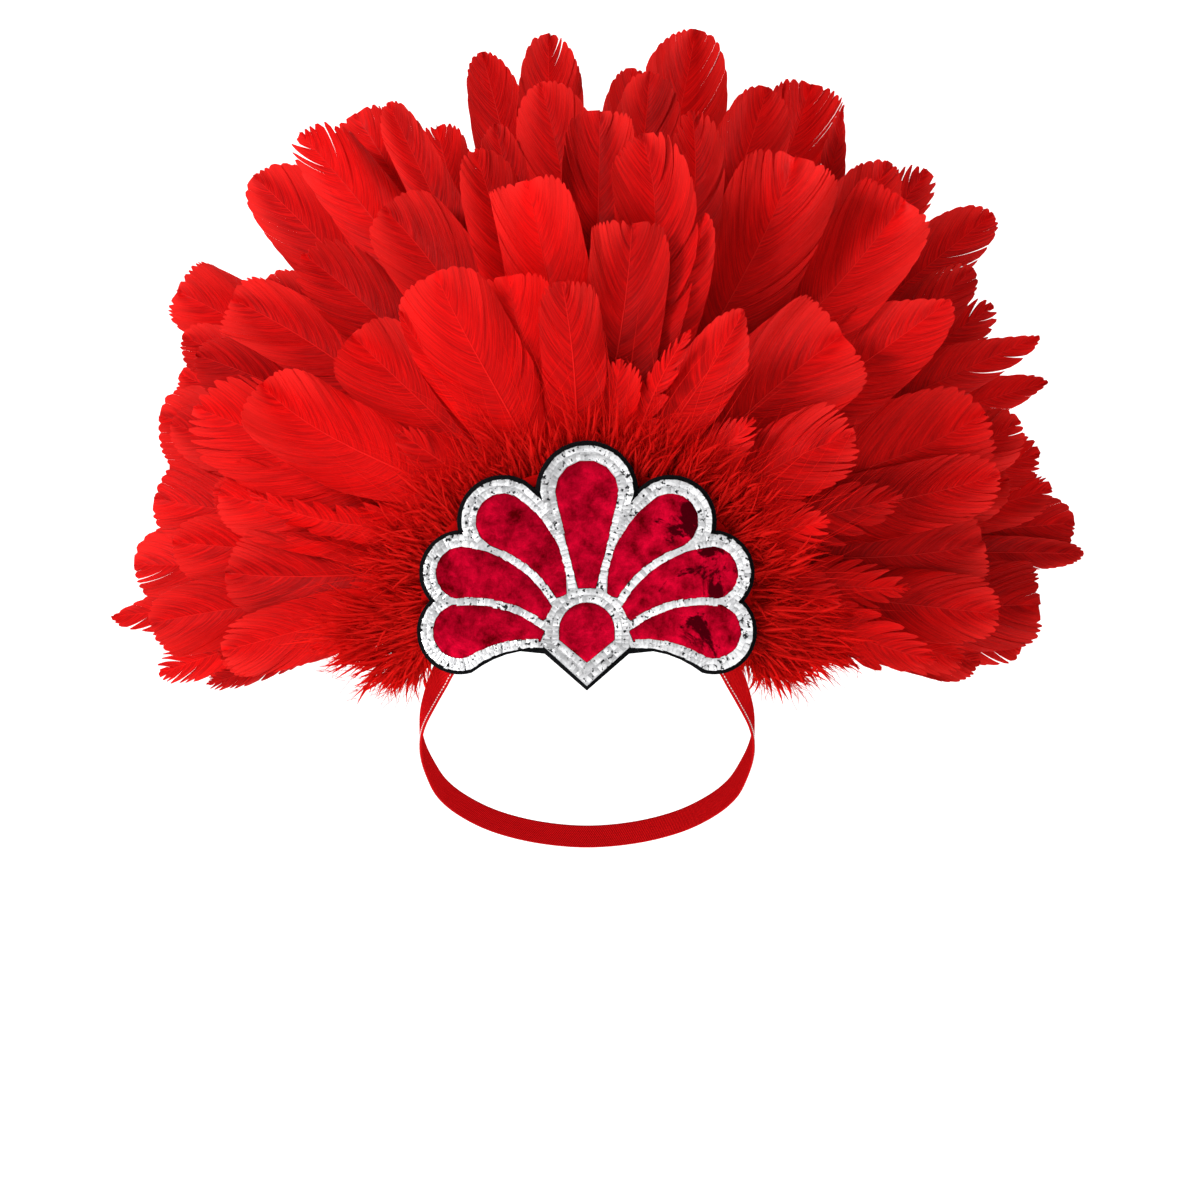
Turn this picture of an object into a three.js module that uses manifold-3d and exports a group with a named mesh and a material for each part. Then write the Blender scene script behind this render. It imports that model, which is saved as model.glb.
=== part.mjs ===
// Carnival feather headdress: a felt head band, five rows of feathers and a ruff of down sewn
// round it, a bent front ornament of silver tape and crimson foil, and an elastic strap.
// Millimetres. +X is to the right seen from the front, +Y to the back, +Z up.
// The origin is the seat: the inside of the head band at its highest point.

import * as THREE from 'three';
import { mergeVertices } from 'three/addons/utils/BufferGeometryUtils.js';
import Module from 'manifold-3d';

const wasm = await Module();
wasm.setup();

// Clearance between pieces that are sewn or glued to each other
const gap = 0.3;

// Head band: half an ellipse that runs on straight down at the temples
const bandHalfWidth = 64.5;
const bandRise = 49.5;
const bandWall = 2.5;
const bandDepth = 52;
const bandEndAngle = 110;
const dropPerDegree = 1.1;

// The whole front bends back to both sides, with this slope far out
const bendSlope = 0.25;
const bendLength = 60;

// Front ornament: a palmette of seven petals round a shield
const shieldCentreZ = -62.7;
const backingThickness = 2;
const trimThickness = 1.2;
const foilThickness = 0.8;
const footBorder = 2.2;
const backingRim = 2;
const shieldRadius = 11.9;
const shieldTip = 13.9;
const shieldShoulder = 4;
const shieldBorder = 6.6;
const shieldTipBorder = 10.3;
const plateHalfWidth = 85;
const plateTop = 40;
const plateBottom = -130;
const plateStep = 10;
const petalSteps = 5;
const petalCapSteps = 7;

// Sewn strips that hold the feather roots, and the set of the feathers
const stripWall = 1.5;
const stripWidth = 6.4;
const ruffStripWidth = 4.4;
const archStep = 10;
const leanStart = 20;
const rootPull = 0.6;
const rootPullAtSides = 0.95;
const rootEndAngle = bandEndAngle - 4;
const rootHandle = 0.3;
const tipHandle = 0.4;
const hiddenWidth = 1.16;
const featherSet = { twist: 6, crown: 0.12, stagger: 2.2, widen: hiddenWidth };
const lockSet = { twist: 0, crown: 0, stagger: 0, widen: 1 };

// Elastic strap
const strapWidth = 10;
const strapThickness = 1.2;
const strapSections = 58;
const strapTwistOver = 0.16;
const strapAxisY = 50;

const bandFrontY = -bandDepth / 2;
const backingFrontY = bandFrontY - gap - backingThickness;
const fanCentreZ = -bandRise;
const radians = THREE.MathUtils.degToRad;

// Turns rows of numbers into records with the named columns
function table(columns, rows) {
  return rows.map((row) => Object.fromEntries(columns.map((name, i) => [name, row[i]])));
}

// Petals of the right half and the middle, from the shield's centre: round head and its border,
// foot, sideways bow of the middle line, and swell of both sides
const petalColumns = [
  'name', 'headX', 'headZ', 'radius', 'border', 'footX', 'footZ', 'footHalf', 'bow', 'swell',
];
const petals = table(petalColumns, [
  ['top', 0, 60.1, 13.6, 6.8, 0, 18.4, 3.7, 0, 0.5],
  ['upper', 36.4, 47.5, 11.9, 6.2, 11.1, 14.8, 2.2, 4.6, 1.2],
  ['mid', 54.3, 25, 11.5, 5.2, 16.7, 6.4, 3.2, 4.5, 0.8],
  ['lower', 55.3, -0.5, 11.9, 4.8, 19.4, -2.6, 2.3, 3.2, 0.6],
]);

// One feather from root to tip: place along it, part of its full width, thickness
const featherSections = table(['along', 'width', 'thickness'], [
  [0, 0.1, 2],
  [0.2, 0.36, 1.9],
  [0.45, 0.86, 1.6],
  [0.74, 1, 1.1],
  [0.93, 0.82, 0.7],
  [1, 0.4, 0.4],
]);

// One lock of down, in the same way
const lockSections = table(['along', 'width', 'thickness'], [
  [0, 0.3, 2],
  [0.6, 1, 1.6],
  [1, 0.15, 0.5],
]);

// Feathers of each row: angle of the tip from the vertical, its reach from the fan centre,
// the full width, and the angle that the tip heads in
const featherColumns = ['tipAngle', 'reach', 'width', 'heading'];
const featherRows = [
  { name: 'feather_row_1', y: -13.5, lean: -16, feathers: table(featherColumns, [
    [-100, 124, 22, -104], [-90, 108, 24, -92], [-71.9, 156, 14, -55], [-68, 108, 24, -76],
    [-56.5, 171, 34, -44], [-48, 112, 22, -50], [-33, 150, 12, -28], [-24.8, 156.5, 35, -23],
    [-13.8, 145.5, 30, -10], [-4.6, 139, 24, -12], [8, 106, 20, 8], [21, 126, 12, 36],
    [28.4, 143.5, 26, 26], [43, 108, 22, 46], [58.2, 138, 30, 72], [72, 112, 24, 78],
    [90, 112, 24, 92], [102, 122, 20, 106],
  ]) },
  { name: 'feather_row_2', y: -5, lean: -9, feathers: table(featherColumns, [
    [-98, 162, 26, -104], [-85.6, 159, 33, -82], [-74, 168, 30, -78], [-63.8, 192, 40, -68],
    [-41.5, 155, 36, -44], [-31, 142, 22, -30], [-19, 138, 22, -18], [-8.2, 185, 32, -14],
    [6.6, 204, 32, -20], [6.8, 166, 31, 2], [17, 176, 18, 10], [44, 162, 46, 54],
    [57, 140, 24, 60], [72, 146, 26, 76], [88, 142, 26, 90], [100, 156, 24, 104],
  ]) },
  { name: 'feather_row_3', y: 3.5, lean: -1.5, feathers: table(featherColumns, [
    [-98, 164, 22, -102], [-93.1, 193, 28, -102], [-82, 184, 28, -84], [-73.6, 171, 24, -76],
    [-57.9, 203, 26, -72], [-49.8, 205, 28, -65], [-39.5, 197, 32, -55], [-27.5, 194, 34, -46],
    [-14, 203, 26, -18], [1.5, 214, 28, 0], [12, 219, 22, -10], [25.2, 215, 39, 18],
    [38.5, 225, 36, 35], [50.4, 207, 36, 52], [64.8, 194, 40, 57], [73, 190, 28, 72],
    [81.7, 177, 33, 75], [92, 182, 26, 96], [99, 168, 22, 104],
  ]) },
  { name: 'feather_row_4', y: 12, lean: 6.5, feathers: table(featherColumns, [
    [-102.5, 172, 10, -105], [-92, 211, 22, -96], [-76.8, 197, 34, -80], [-67, 200, 28, -72],
    [-56.9, 214, 24, -66], [-45, 200, 28, -52], [-31.6, 243, 28, -43], [-21.8, 236, 18, -26],
    [-11, 213, 20, -14], [-5.2, 228, 33, -17], [6.8, 234, 26, 4], [19.4, 240, 30, 16],
    [34.4, 235, 30, 22.6], [49.4, 225, 24, 47], [59.7, 232, 22, 66], [67.5, 207, 28, 56],
    [74.2, 194, 28, 78], [90.5, 201, 34, 86.5], [99, 176, 22, 103],
  ]) },
  { name: 'feather_row_5', y: 20.5, lean: 15, feathers: table(featherColumns, [
    [-99.8, 193, 18, -110], [-85.6, 202, 34, -90], [-76, 188, 28, -84], [-66.8, 207, 38, -80],
    [-61, 207, 30, -68], [-53, 229, 30, -64], [-44, 196, 26, -52], [-38.2, 240, 30, -47],
    [-25.5, 240, 27, -33], [-17.6, 221, 20, -12], [-10.9, 248, 24, -15], [-3.9, 252, 28, 0],
    [4.9, 237, 24, 5], [10.8, 258, 36, 10], [23.5, 251, 30, 16.5], [27.5, 246, 16, 5],
    [38.3, 244, 26, 36], [46.4, 250, 26, 51], [54.1, 223, 22, 56], [64.7, 227, 22, 75],
    [72, 212, 24, 74], [76.5, 213, 22, 72], [81, 220, 30, 85], [84.7, 222, 14, 92], [96.5, 194, 22, 102],
  ]) },
];

// Ruff of down: an even run round the ornament, and longer locks hanging at both lower ends
const ruff = { y: -20.8, lean: -20, lockWidth: 17 };
const ruffStep = 10.8;
const ruffEndAngle = 97.2;
const ruffTopReach = 88;
const ruffSideReach = 106;
const fringe = { start: 103, end: 121, step: 4.5, startReach: 129, shorterPerDegree: 2.2, droop: 2 };

// Right half of the strap's middle line, from the ornament to the nape
const strapPoints = table(['x', 'y', 'z'], [
  [58.4, -18.6, -66],
  [59.6, -17.4, -74],
  [63.5, -9, -82],
  [68, 6, -91],
  [72.4, 30, -102.3],
  [73.2, 58, -113],
  [70, 88, -124.3],
  [64.5, 108, -134],
  [55, 126, -142],
  [41, 140, -149],
  [22, 149, -154],
  [0, 152, -156],
]);

const felt = new THREE.MeshStandardMaterial({ color: 0x6e0a0c, roughness: 0.95 });
const board = new THREE.MeshStandardMaterial({ color: 0x0b0b0c, roughness: 0.85 });
const silverTape = new THREE.MeshStandardMaterial({ color: 0xdadadd, roughness: 0.3, metalness: 0.9 });
const foil = new THREE.MeshStandardMaterial({ color: 0xb4002a, roughness: 0.16, metalness: 0.85 });
const feather = new THREE.MeshStandardMaterial({ color: 0xd80d0c, roughness: 0.55 });
const down = new THREE.MeshStandardMaterial({ color: 0xb80808, roughness: 0.9 });
const elastic = new THREE.MeshStandardMaterial({ color: 0xc41216, roughness: 0.7 });

// How far a point at x from the middle lies back: a hyperbola that starts flat
function bendBack(x) {
  return bendSlope * bendLength * (Math.hypot(1, x / bendLength) - 1);
}

// Slope of that bend
function bendSlopeAt(x) {
  return bendSlope * (x / bendLength) / Math.hypot(1, x / bendLength);
}

// Point of the arch at an angle from the vertical, some way out from its inner face
function archPoint(angle, out) {
  const onEllipse = THREE.MathUtils.clamp(angle, -90, 90);
  const past = Math.abs(angle) - Math.abs(onEllipse);
  return new THREE.Vector2(
    (bandHalfWidth + out) * Math.sin(radians(onEllipse)),
    fanCentreZ + (bandRise + out) * Math.cos(radians(onEllipse)) - past * dropPerDegree,
  );
}

// Closed solid through rings of points, with flat ends
function loft(rings) {
  const count = rings[0].length;
  const last = (rings.length - 1) * count;
  const index = [];
  for (let r = 0; r + 1 < rings.length; r += 1) {
    for (let i = 0; i < count; i += 1) {
      const a = r * count + i;
      const b = r * count + ((i + 1) % count);
      index.push(a, b, b + count, a, b + count, a + count);
    }
  }
  for (let i = 1; i + 1 < count; i += 1) {
    index.push(0, i + 1, i, last, last + i, last + i + 1);
  }
  const geometry = new THREE.BufferGeometry();
  geometry.setAttribute('position', new THREE.Float32BufferAttribute(rings.flat(2), 3));
  geometry.setIndex(index);
  return geometry;
}

// Solid for joining and cutting
function solid(geometry) {
  const bare = geometry.clone();
  bare.deleteAttribute('normal');
  bare.deleteAttribute('uv');
  const merged = mergeVertices(bare);
  return new wasm.Manifold(new wasm.Mesh({
    numProp: 3,
    vertProperties: new Float32Array(merged.attributes.position.array),
    triVerts: new Uint32Array(merged.index.array),
  }));
}

function geometryOf(body) {
  const mesh = body.getMesh();
  const geometry = new THREE.BufferGeometry();
  geometry.setAttribute('position', new THREE.BufferAttribute(new Float32Array(mesh.vertProperties), 3));
  geometry.setIndex(new THREE.BufferAttribute(new Uint32Array(mesh.triVerts), 1));
  geometry.computeVertexNormals();
  return geometry;
}

function named(name, geometry, material) {
  const mesh = new THREE.Mesh(geometry, material);
  mesh.name = name;
  return mesh;
}

// Strip along the arch: from one distance out of its inner face to another, centred at a depth
function archStrip(innerOut, outerOut, middleY, width) {
  const rings = [];
  for (let angle = -bandEndAngle; angle <= bandEndAngle; angle += archStep) {
    const inner = archPoint(angle, innerOut);
    const outer = archPoint(angle, outerOut);
    const y = middleY + bendBack(outer.x);
    rings.push([
      [inner.x, y - width / 2, inner.y],
      [inner.x, y + width / 2, inner.y],
      [outer.x, y + width / 2, outer.y],
      [outer.x, y - width / 2, outer.y],
    ]);
  }
  return loft(rings);
}

// Strip sewn to the outer face of the band
function sewnStrip(middleY, width) {
  const innerOut = bandWall + gap;
  return archStrip(innerOut, innerOut + stripWall, middleY, width);
}

// Depth of a layer of feathers at a place seen from the front: it leaves the band upright and
// then leans forward or back with the distance from the band
function layerY(layer, x, z) {
  const halfWidth = bandHalfWidth + bandWall;
  const rise = bandRise + bandWall;
  const up = Math.max(z - fanCentreZ, 0);
  const ellipses = Math.hypot(x / halfWidth, up / rise);
  const away = Math.max(ellipses - 1, 0) * Math.sqrt(halfWidth * rise);
  return layer.y + bendBack(x) + Math.tan(radians(layer.lean)) * away * away / (away + leanStart);
}

// Leaf with a thin diamond section along a bent middle line seen from the front, laid on its layer
function leaf(layer, row, sections, set, side) {
  const share = Math.min(Math.abs(row.tipAngle) / 90, 1);
  const rootAngle = THREE.MathUtils.clamp(
    row.tipAngle * THREE.MathUtils.lerp(rootPull, rootPullAtSides, share),
    -rootEndAngle,
    rootEndAngle,
  );
  const rootOut = bandWall + gap + stripWall / 2;
  const root = archPoint(rootAngle, rootOut);
  const outward = archPoint(rootAngle, rootOut + 1).sub(root);
  const tipTurn = radians(row.tipAngle);
  const tip = new THREE.Vector2(row.reach * Math.sin(tipTurn), fanCentreZ + row.reach * Math.cos(tipTurn));
  const length = root.distanceTo(tip);
  const headTurn = radians(row.heading);
  const heading = new THREE.Vector2(Math.sin(headTurn), Math.cos(headTurn));
  const line = new THREE.CubicBezierCurve(
    root,
    root.clone().addScaledVector(outward, rootHandle * length),
    tip.clone().addScaledVector(heading, -tipHandle * length),
    tip,
  );
  const rings = sections.map((section) => {
    const middle = line.getPoint(section.along);
    const along = line.getTangent(section.along);
    const half = section.width * row.width * set.widen / 2;
    const y = layerY(layer, middle.x, middle.y) + side * set.stagger * section.along;
    const slant = half * Math.tan(radians(set.twist));
    const edge = (turn) => [
      middle.x + turn * half * along.y,
      y + turn * slant,
      middle.y - turn * half * along.x,
    ];
    const ridge = (depth) => [middle.x, y - set.crown * half + depth, middle.y];
    return [edge(-1), ridge(-section.thickness / 2), edge(1), ridge(section.thickness / 2)];
  });
  return solid(loft(rings));
}

// Row of feathers on its strip, every second feather a little further forward
function featherRow(row) {
  const bodies = row.feathers.map((item, i) => leaf(row, item, featherSections, featherSet, i % 2 ? -1 : 1));
  bodies.push(solid(sewnStrip(row.y, stripWidth)));
  return named(row.name, geometryOf(wasm.Manifold.union(bodies)), feather);
}

// Ruff: locks all round, with fringes of longer locks at both lower ends
function downRuff() {
  const locks = [];
  for (let angle = -ruffEndAngle; angle <= ruffEndAngle; angle += ruffStep) {
    const reach = THREE.MathUtils.lerp(ruffTopReach, ruffSideReach, (angle / ruffEndAngle) ** 2);
    locks.push({ tipAngle: angle, reach, width: ruff.lockWidth, heading: angle });
  }
  for (let angle = fringe.start; angle <= fringe.end; angle += fringe.step) {
    const reach = fringe.startReach - (angle - fringe.start) * fringe.shorterPerDegree;
    const heading = angle + (angle - fringe.start) * fringe.droop;
    for (const side of [-1, 1]) {
      locks.push({ tipAngle: side * angle, reach, width: ruff.lockWidth, heading: side * heading });
    }
  }
  const bodies = locks.map((lock) => leaf(ruff, lock, lockSections, lockSet, 1));
  bodies.push(solid(sewnStrip(ruff.y, ruffStripWidth)));
  return named('down_ruff', geometryOf(wasm.Manifold.union(bodies)), down);
}

// Outline of a petal seen from the front, grown by a border that is wider at its head
function petalOutline(petal, side, headGrow, footGrow) {
  const foot = new THREE.Vector2(side * petal.footX, petal.footZ);
  const head = new THREE.Vector2(side * petal.headX, petal.headZ);
  const axis = head.clone().sub(foot).normalize();
  const across = new THREE.Vector2(axis.y, -axis.x);
  const middle = foot.clone().add(head).multiplyScalar(0.5);
  const bend = middle.addScaledVector(across, -side * 2 * petal.bow);
  const line = new THREE.QuadraticBezierCurve(foot, bend, head);
  const rightSide = [];
  const leftSide = [];
  for (let i = 0; i < petalSteps; i += 1) {
    const t = i / petalSteps;
    const grow = THREE.MathUtils.lerp(footGrow, headGrow, t);
    const swell = petal.swell * 4 * t * (1 - t);
    const half = THREE.MathUtils.lerp(petal.footHalf, petal.radius, t) + swell + grow;
    const place = line.getPoint(t);
    const run = line.getTangent(t);
    if (i === 0) place.addScaledVector(run, -footGrow);
    rightSide.push(new THREE.Vector2(place.x + half * run.y, place.y - half * run.x));
    leftSide.unshift(new THREE.Vector2(place.x - half * run.y, place.y + half * run.x));
  }
  const end = line.getTangent(1);
  const start = Math.atan2(-end.x, end.y);
  const cap = [];
  for (let i = 0; i <= petalCapSteps; i += 1) {
    const turn = start + Math.PI * i / petalCapSteps;
    const radius = petal.radius + headGrow;
    cap.push(new THREE.Vector2(head.x + radius * Math.cos(turn), head.y + radius * Math.sin(turn)));
  }
  return [...rightSide, ...cap, ...leftSide];
}

// Outline of the shield: a half circle over a point
function shieldOutline(grow, tipGrow) {
  const radius = shieldRadius + grow;
  const points = [];
  for (let i = 0; i <= 2 * petalCapSteps; i += 1) {
    const turn = Math.PI * i / (2 * petalCapSteps);
    points.push(new THREE.Vector2(radius * Math.cos(turn), radius * Math.sin(turn)));
  }
  points.push(new THREE.Vector2(-radius, -shieldShoulder - grow / 2));
  points.push(new THREE.Vector2(0, -shieldTip - tipGrow));
  points.push(new THREE.Vector2(radius, -shieldShoulder - grow / 2));
  return points;
}

// Wall of the bent plate: all of it between two depths
function bentWall(frontY, backY) {
  const plan = new THREE.Shape();
  plan.moveTo(-plateHalfWidth, frontY + bendBack(plateHalfWidth));
  for (let x = -plateHalfWidth + plateStep; x <= plateHalfWidth; x += plateStep) {
    plan.lineTo(x, frontY + bendBack(x));
  }
  for (let x = plateHalfWidth; x >= -plateHalfWidth; x -= plateStep) {
    plan.lineTo(x, backY + bendBack(x));
  }
  const wall = new THREE.ExtrudeGeometry(plan, { depth: plateTop - plateBottom, bevelEnabled: false });
  return solid(wall.translate(0, 0, plateBottom));
}

// Straight prism through the plate with an outline seen from the front
function prism(outline) {
  const depth = 4 * bandDepth;
  const geometry = new THREE.ExtrudeGeometry(new THREE.Shape(outline), { depth, bevelEnabled: false });
  geometry.rotateX(Math.PI / 2).translate(0, depth / 2, shieldCentreZ);
  return solid(geometry);
}

// Every petal of the palmette with the name of its foil field
function allPetals() {
  return petals.flatMap((petal) => (petal.headX === 0
    ? [{ petal, side: 1, name: `inset_${petal.name}` }]
    : [-1, 1].map((side) => ({ petal, side, name: `inset_${petal.name}_${side < 0 ? 'left' : 'right'}` }))));
}

// The palmette as one prism, with its borders and a rim round them
function palmette(rim) {
  const prisms = allPetals().map(({ petal, side }) => (
    prism(petalOutline(petal, side, petal.border + rim, footBorder + rim))));
  prisms.push(prism(shieldOutline(shieldBorder + rim, shieldTipBorder + rim)));
  return wasm.Manifold.union(prisms);
}

function frontOrnament() {
  const group = new THREE.Group();
  const backY = backingFrontY - gap;
  const backing = palmette(backingRim);
  const backingWall = bentWall(backingFrontY, backingFrontY + backingThickness);
  group.add(named('plate_backing', geometryOf(backing.intersect(backingWall)), board));
  const fields = allPetals().map(({ petal, side, name }) => (
    { name, outline: (grow) => petalOutline(petal, side, grow, grow) }));
  fields.push({ name: 'inset_centre', outline: (grow) => shieldOutline(grow, grow) });
  const windows = wasm.Manifold.union(fields.map((field) => prism(field.outline(gap))));
  const trim = palmette(0).subtract(windows).intersect(bentWall(backY - trimThickness, backY));
  group.add(named('plate_trim', geometryOf(trim), silverTape));
  const foilWall = bentWall(backY - foilThickness, backY);
  for (const field of fields) {
    group.add(named(field.name, geometryOf(prism(field.outline(0)).intersect(foilWall)), foil));
  }
  return group;
}

// Flat strap along its middle line: it starts flat on the ornament and turns to face outward
function elasticStrap() {
  const toPoint = (side) => (row) => new THREE.Vector3(side * row.x, row.y, row.z);
  const right = strapPoints.map(toPoint(1));
  const left = strapPoints.slice(0, -1).map(toPoint(-1));
  const line = new THREE.CatmullRomCurve3([...left, ...right.reverse()]);
  const rings = [];
  for (let i = 0; i <= strapSections; i += 1) {
    const t = i / strapSections;
    const place = line.getPointAt(t);
    const run = line.getTangentAt(t);
    const turned = THREE.MathUtils.smoothstep(Math.min(t, 1 - t), 0, strapTwistOver);
    const flat = new THREE.Vector3(bendSlopeAt(place.x), -1, 0).normalize();
    const round = new THREE.Vector3(place.x, place.y - strapAxisY, 0).normalize();
    const facing = flat.lerp(round, turned);
    const across = new THREE.Vector3().crossVectors(run, facing).normalize();
    facing.crossVectors(across, run).normalize();
    const corner = (u, v) => place.clone()
      .addScaledVector(across, u * strapWidth / 2)
      .addScaledVector(facing, v * strapThickness / 2)
      .toArray();
    rings.push([corner(-1, -1), corner(-1, 1), corner(1, 1), corner(1, -1)]);
  }
  return named('elastic_strap', loft(rings), elastic);
}

function headBand() {
  return named('head_band', archStrip(0, bandWall, 0, bandDepth), felt);
}

const headdress = new THREE.Group();
headdress.name = 'carnival_feather_headdress';
headdress.add(headBand(), frontOrnament(), downRuff(), ...featherRows.map(featherRow), elasticStrap());

export default headdress;
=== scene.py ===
# Carnival feather headdress: feathers, down, sequin tape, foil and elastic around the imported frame.
# Metres, +Z up, the ornament faces -Y. The layout below is in millimetres and scaled once, in addMesh.
import math

import bpy
import numpy as np
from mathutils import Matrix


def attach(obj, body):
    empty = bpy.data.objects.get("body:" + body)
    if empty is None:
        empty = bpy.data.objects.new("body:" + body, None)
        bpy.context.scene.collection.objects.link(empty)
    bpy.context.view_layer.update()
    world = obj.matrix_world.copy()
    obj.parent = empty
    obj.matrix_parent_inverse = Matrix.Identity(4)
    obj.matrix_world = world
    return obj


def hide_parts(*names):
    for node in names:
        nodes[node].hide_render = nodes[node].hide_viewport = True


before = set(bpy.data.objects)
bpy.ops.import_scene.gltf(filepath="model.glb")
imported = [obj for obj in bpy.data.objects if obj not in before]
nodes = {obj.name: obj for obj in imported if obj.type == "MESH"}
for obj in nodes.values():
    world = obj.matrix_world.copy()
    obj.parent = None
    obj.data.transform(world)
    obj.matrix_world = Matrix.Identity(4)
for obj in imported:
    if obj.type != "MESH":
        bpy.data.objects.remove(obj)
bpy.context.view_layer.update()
mm = 0.001
print("frame loaded:", len(nodes), "nodes")

layout = {
    "halfWidth": 64.5, "rise": 49.5, "wall": 2.5, "depth": 52.0, "endAngle": 110.0, "dropPerDegree": 1.1,
    "bendSlope": 0.25, "bendLength": 60.0, "leanStart": 20.0, "barRounding": 0.35, "barUv": 26.0,
    "rootPull": 0.6, "rootPullAtSides": 0.95, "rootOut": 3.55, "rootEnd": 106.0,
    "rootHold": 0.3, "tipHold": 0.4, "hiddenWidth": 1.16, "stagger": 2.2,
}
fanCentre = np.array([0.0, -layout["rise"]])


def smoothStep(low, high, x):
    t = np.clip((x - low) / (high - low), 0.0, 1.0)
    return t * t * (3.0 - 2.0 * t)


# vectors of length one along the last axis
def unit(vectors):
    return vectors / np.maximum(np.linalg.norm(vectors, axis=-1, keepdims=True), 1e-9)


# directions in the front plane: straight up at angle 0, then turning to the right
def headingOf(angle):
    return np.stack([np.sin(angle), np.cos(angle)], -1)


# quarter turn to the right in the front plane
def rightOf(direction):
    return np.stack([direction[..., 1], -direction[..., 0]], -1)


# depth of the bent front: a hyperbola that starts flat and runs out at the end slope
def bendBack(x):
    k = layout["bendLength"]
    return layout["bendSlope"] * k * (np.hypot(1.0, x / k) - 1.0)


# point of the arch at an angle from the vertical: half an ellipse, straight down past 90 degrees
def archPoint(angle, out):
    onEllipse = np.clip(angle, -90.0, 90.0)
    past = np.abs(angle) - np.abs(onEllipse)
    turn = np.radians(onEllipse)
    x = (layout["halfWidth"] + out) * np.sin(turn)
    z = fanCentre[1] + (layout["rise"] + out) * np.cos(turn) - past * layout["dropPerDegree"]
    return np.stack(np.broadcast_arrays(x, z), axis=-1)


# distance out from the band: how many arch ellipses away, times the mean half axis
def awayFromBand(x, z):
    a = layout["halfWidth"] + layout["wall"]
    b = layout["rise"] + layout["wall"]
    ellipses = np.hypot(x / a, np.maximum(z - fanCentre[1], 0.0) / b)
    return np.maximum(ellipses - 1.0, 0.0) * math.sqrt(a * b)


# depth of a feather layer: upright at the band, then leaning with the distance out
def layerDepth(y, lean, x, z):
    away = awayFromBand(x, z)
    return y + bendBack(x) + math.tan(math.radians(lean)) * away * away / (away + layout["leanStart"])


# point and unit tangent of a cubic curve with four control points, at any array of places
def cubic(points, s):
    p0, p1, p2, p3 = points
    s = np.asarray(s)[..., None]
    r = 1.0 - s
    place = r**3 * p0 + 3 * r * r * s * p1 + 3 * r * s * s * p2 + s**3 * p3
    run = 3 * r * r * (p1 - p0) + 6 * r * s * (p2 - p1) + 3 * s * s * (p3 - p2)
    return place, unit(run)


# middle line of a feather seen from the front: it leaves the band squarely and ends in its heading
def middleLine(tipAngle, reach, heading):
    share = min(abs(tipAngle) / 90.0, 1.0)
    pull = layout["rootPull"] + (layout["rootPullAtSides"] - layout["rootPull"]) * share
    rootAngle = float(np.clip(tipAngle * pull, -layout["rootEnd"], layout["rootEnd"]))
    root = archPoint(rootAngle, layout["rootOut"])
    outward = archPoint(rootAngle, layout["rootOut"] + 1.0) - root
    tip = fanCentre + reach * headingOf(math.radians(tipAngle))
    length = float(np.linalg.norm(tip - root))
    rootHold = outward * layout["rootHold"] * length
    tipHold = headingOf(math.radians(heading)) * layout["tipHold"] * length
    return np.array([root, root + rootHold, tip - tipHold, tip]), length


noTris = np.zeros((0, 3), int)


# mesh from whole arrays: vertices in millimetres, quads and triangles, a uv map and point attributes
def addMesh(name, verts, quads, tris=noTris, uv=None, attributes=None, sharpAngle=None):
    mesh = bpy.data.meshes.new(name)
    mesh.vertices.add(len(verts))
    mesh.vertices.foreach_set("co", (np.asarray(verts, np.float64) * mm).astype(np.float32).ravel())
    corners = np.concatenate([quads.ravel(), tris.ravel()]).astype(np.int32)
    starts = np.concatenate([np.arange(len(quads)) * 4, len(quads) * 4 + np.arange(len(tris)) * 3])
    mesh.loops.add(len(corners))
    mesh.loops.foreach_set("vertex_index", corners)
    mesh.polygons.add(len(starts))
    mesh.polygons.foreach_set("loop_start", starts.astype(np.int32))
    mesh.polygons.foreach_set("use_smooth", np.ones(len(starts), bool))
    if uv is not None:
        layer = mesh.uv_layers.new(name="uv")
        layer.data.foreach_set("uv", np.asarray(uv, np.float32)[corners].ravel())
    for key, values in (attributes or {}).items():
        data = mesh.attributes.new(key, "FLOAT", "POINT")
        data.data.foreach_set("value", np.asarray(values, np.float32).ravel())
    mesh.update(calc_edges=True)
    mesh.validate()
    if sharpAngle is not None:
        mesh.set_sharp_from_angle(angle=math.radians(sharpAngle))
    piece = bpy.data.objects.new(name, mesh)
    bpy.context.scene.collection.objects.link(piece)
    return piece


# quads of a grid with the given corner counts, one period wrapped where asked
def gridQuads(rows, columns, wrap=False):
    i, j = np.meshgrid(np.arange(rows - 1), np.arange(columns if wrap else columns - 1), indexing="ij")
    k = (j + 1) % columns
    quads = np.stack([i * columns + j, i * columns + k, (i + 1) * columns + k, (i + 1) * columns + j], -1)
    return quads.reshape(-1, 4)


# many thin plates at once: each grid gets a front, a back and a rim round its border
def plateFaces(rows, columns):
    count = rows * columns
    front = gridQuads(rows, columns)
    border = np.concatenate([
        np.arange(columns - 1),
        np.arange(rows - 1) * columns + columns - 1,
        (rows - 1) * columns + np.arange(columns - 1, 0, -1),
        np.arange(rows - 1, 0, -1) * columns,
    ])
    ahead = np.roll(border, -1)
    rim = np.stack([ahead, border, border + count, ahead + count], -1)
    return np.concatenate([front, front[:, ::-1] + count, rim])


# unit normals of grids with shape (plates, rows, columns, 3)
def gridNormals(points):
    return unit(np.cross(np.gradient(points, axis=2), np.gradient(points, axis=1)))


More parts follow.
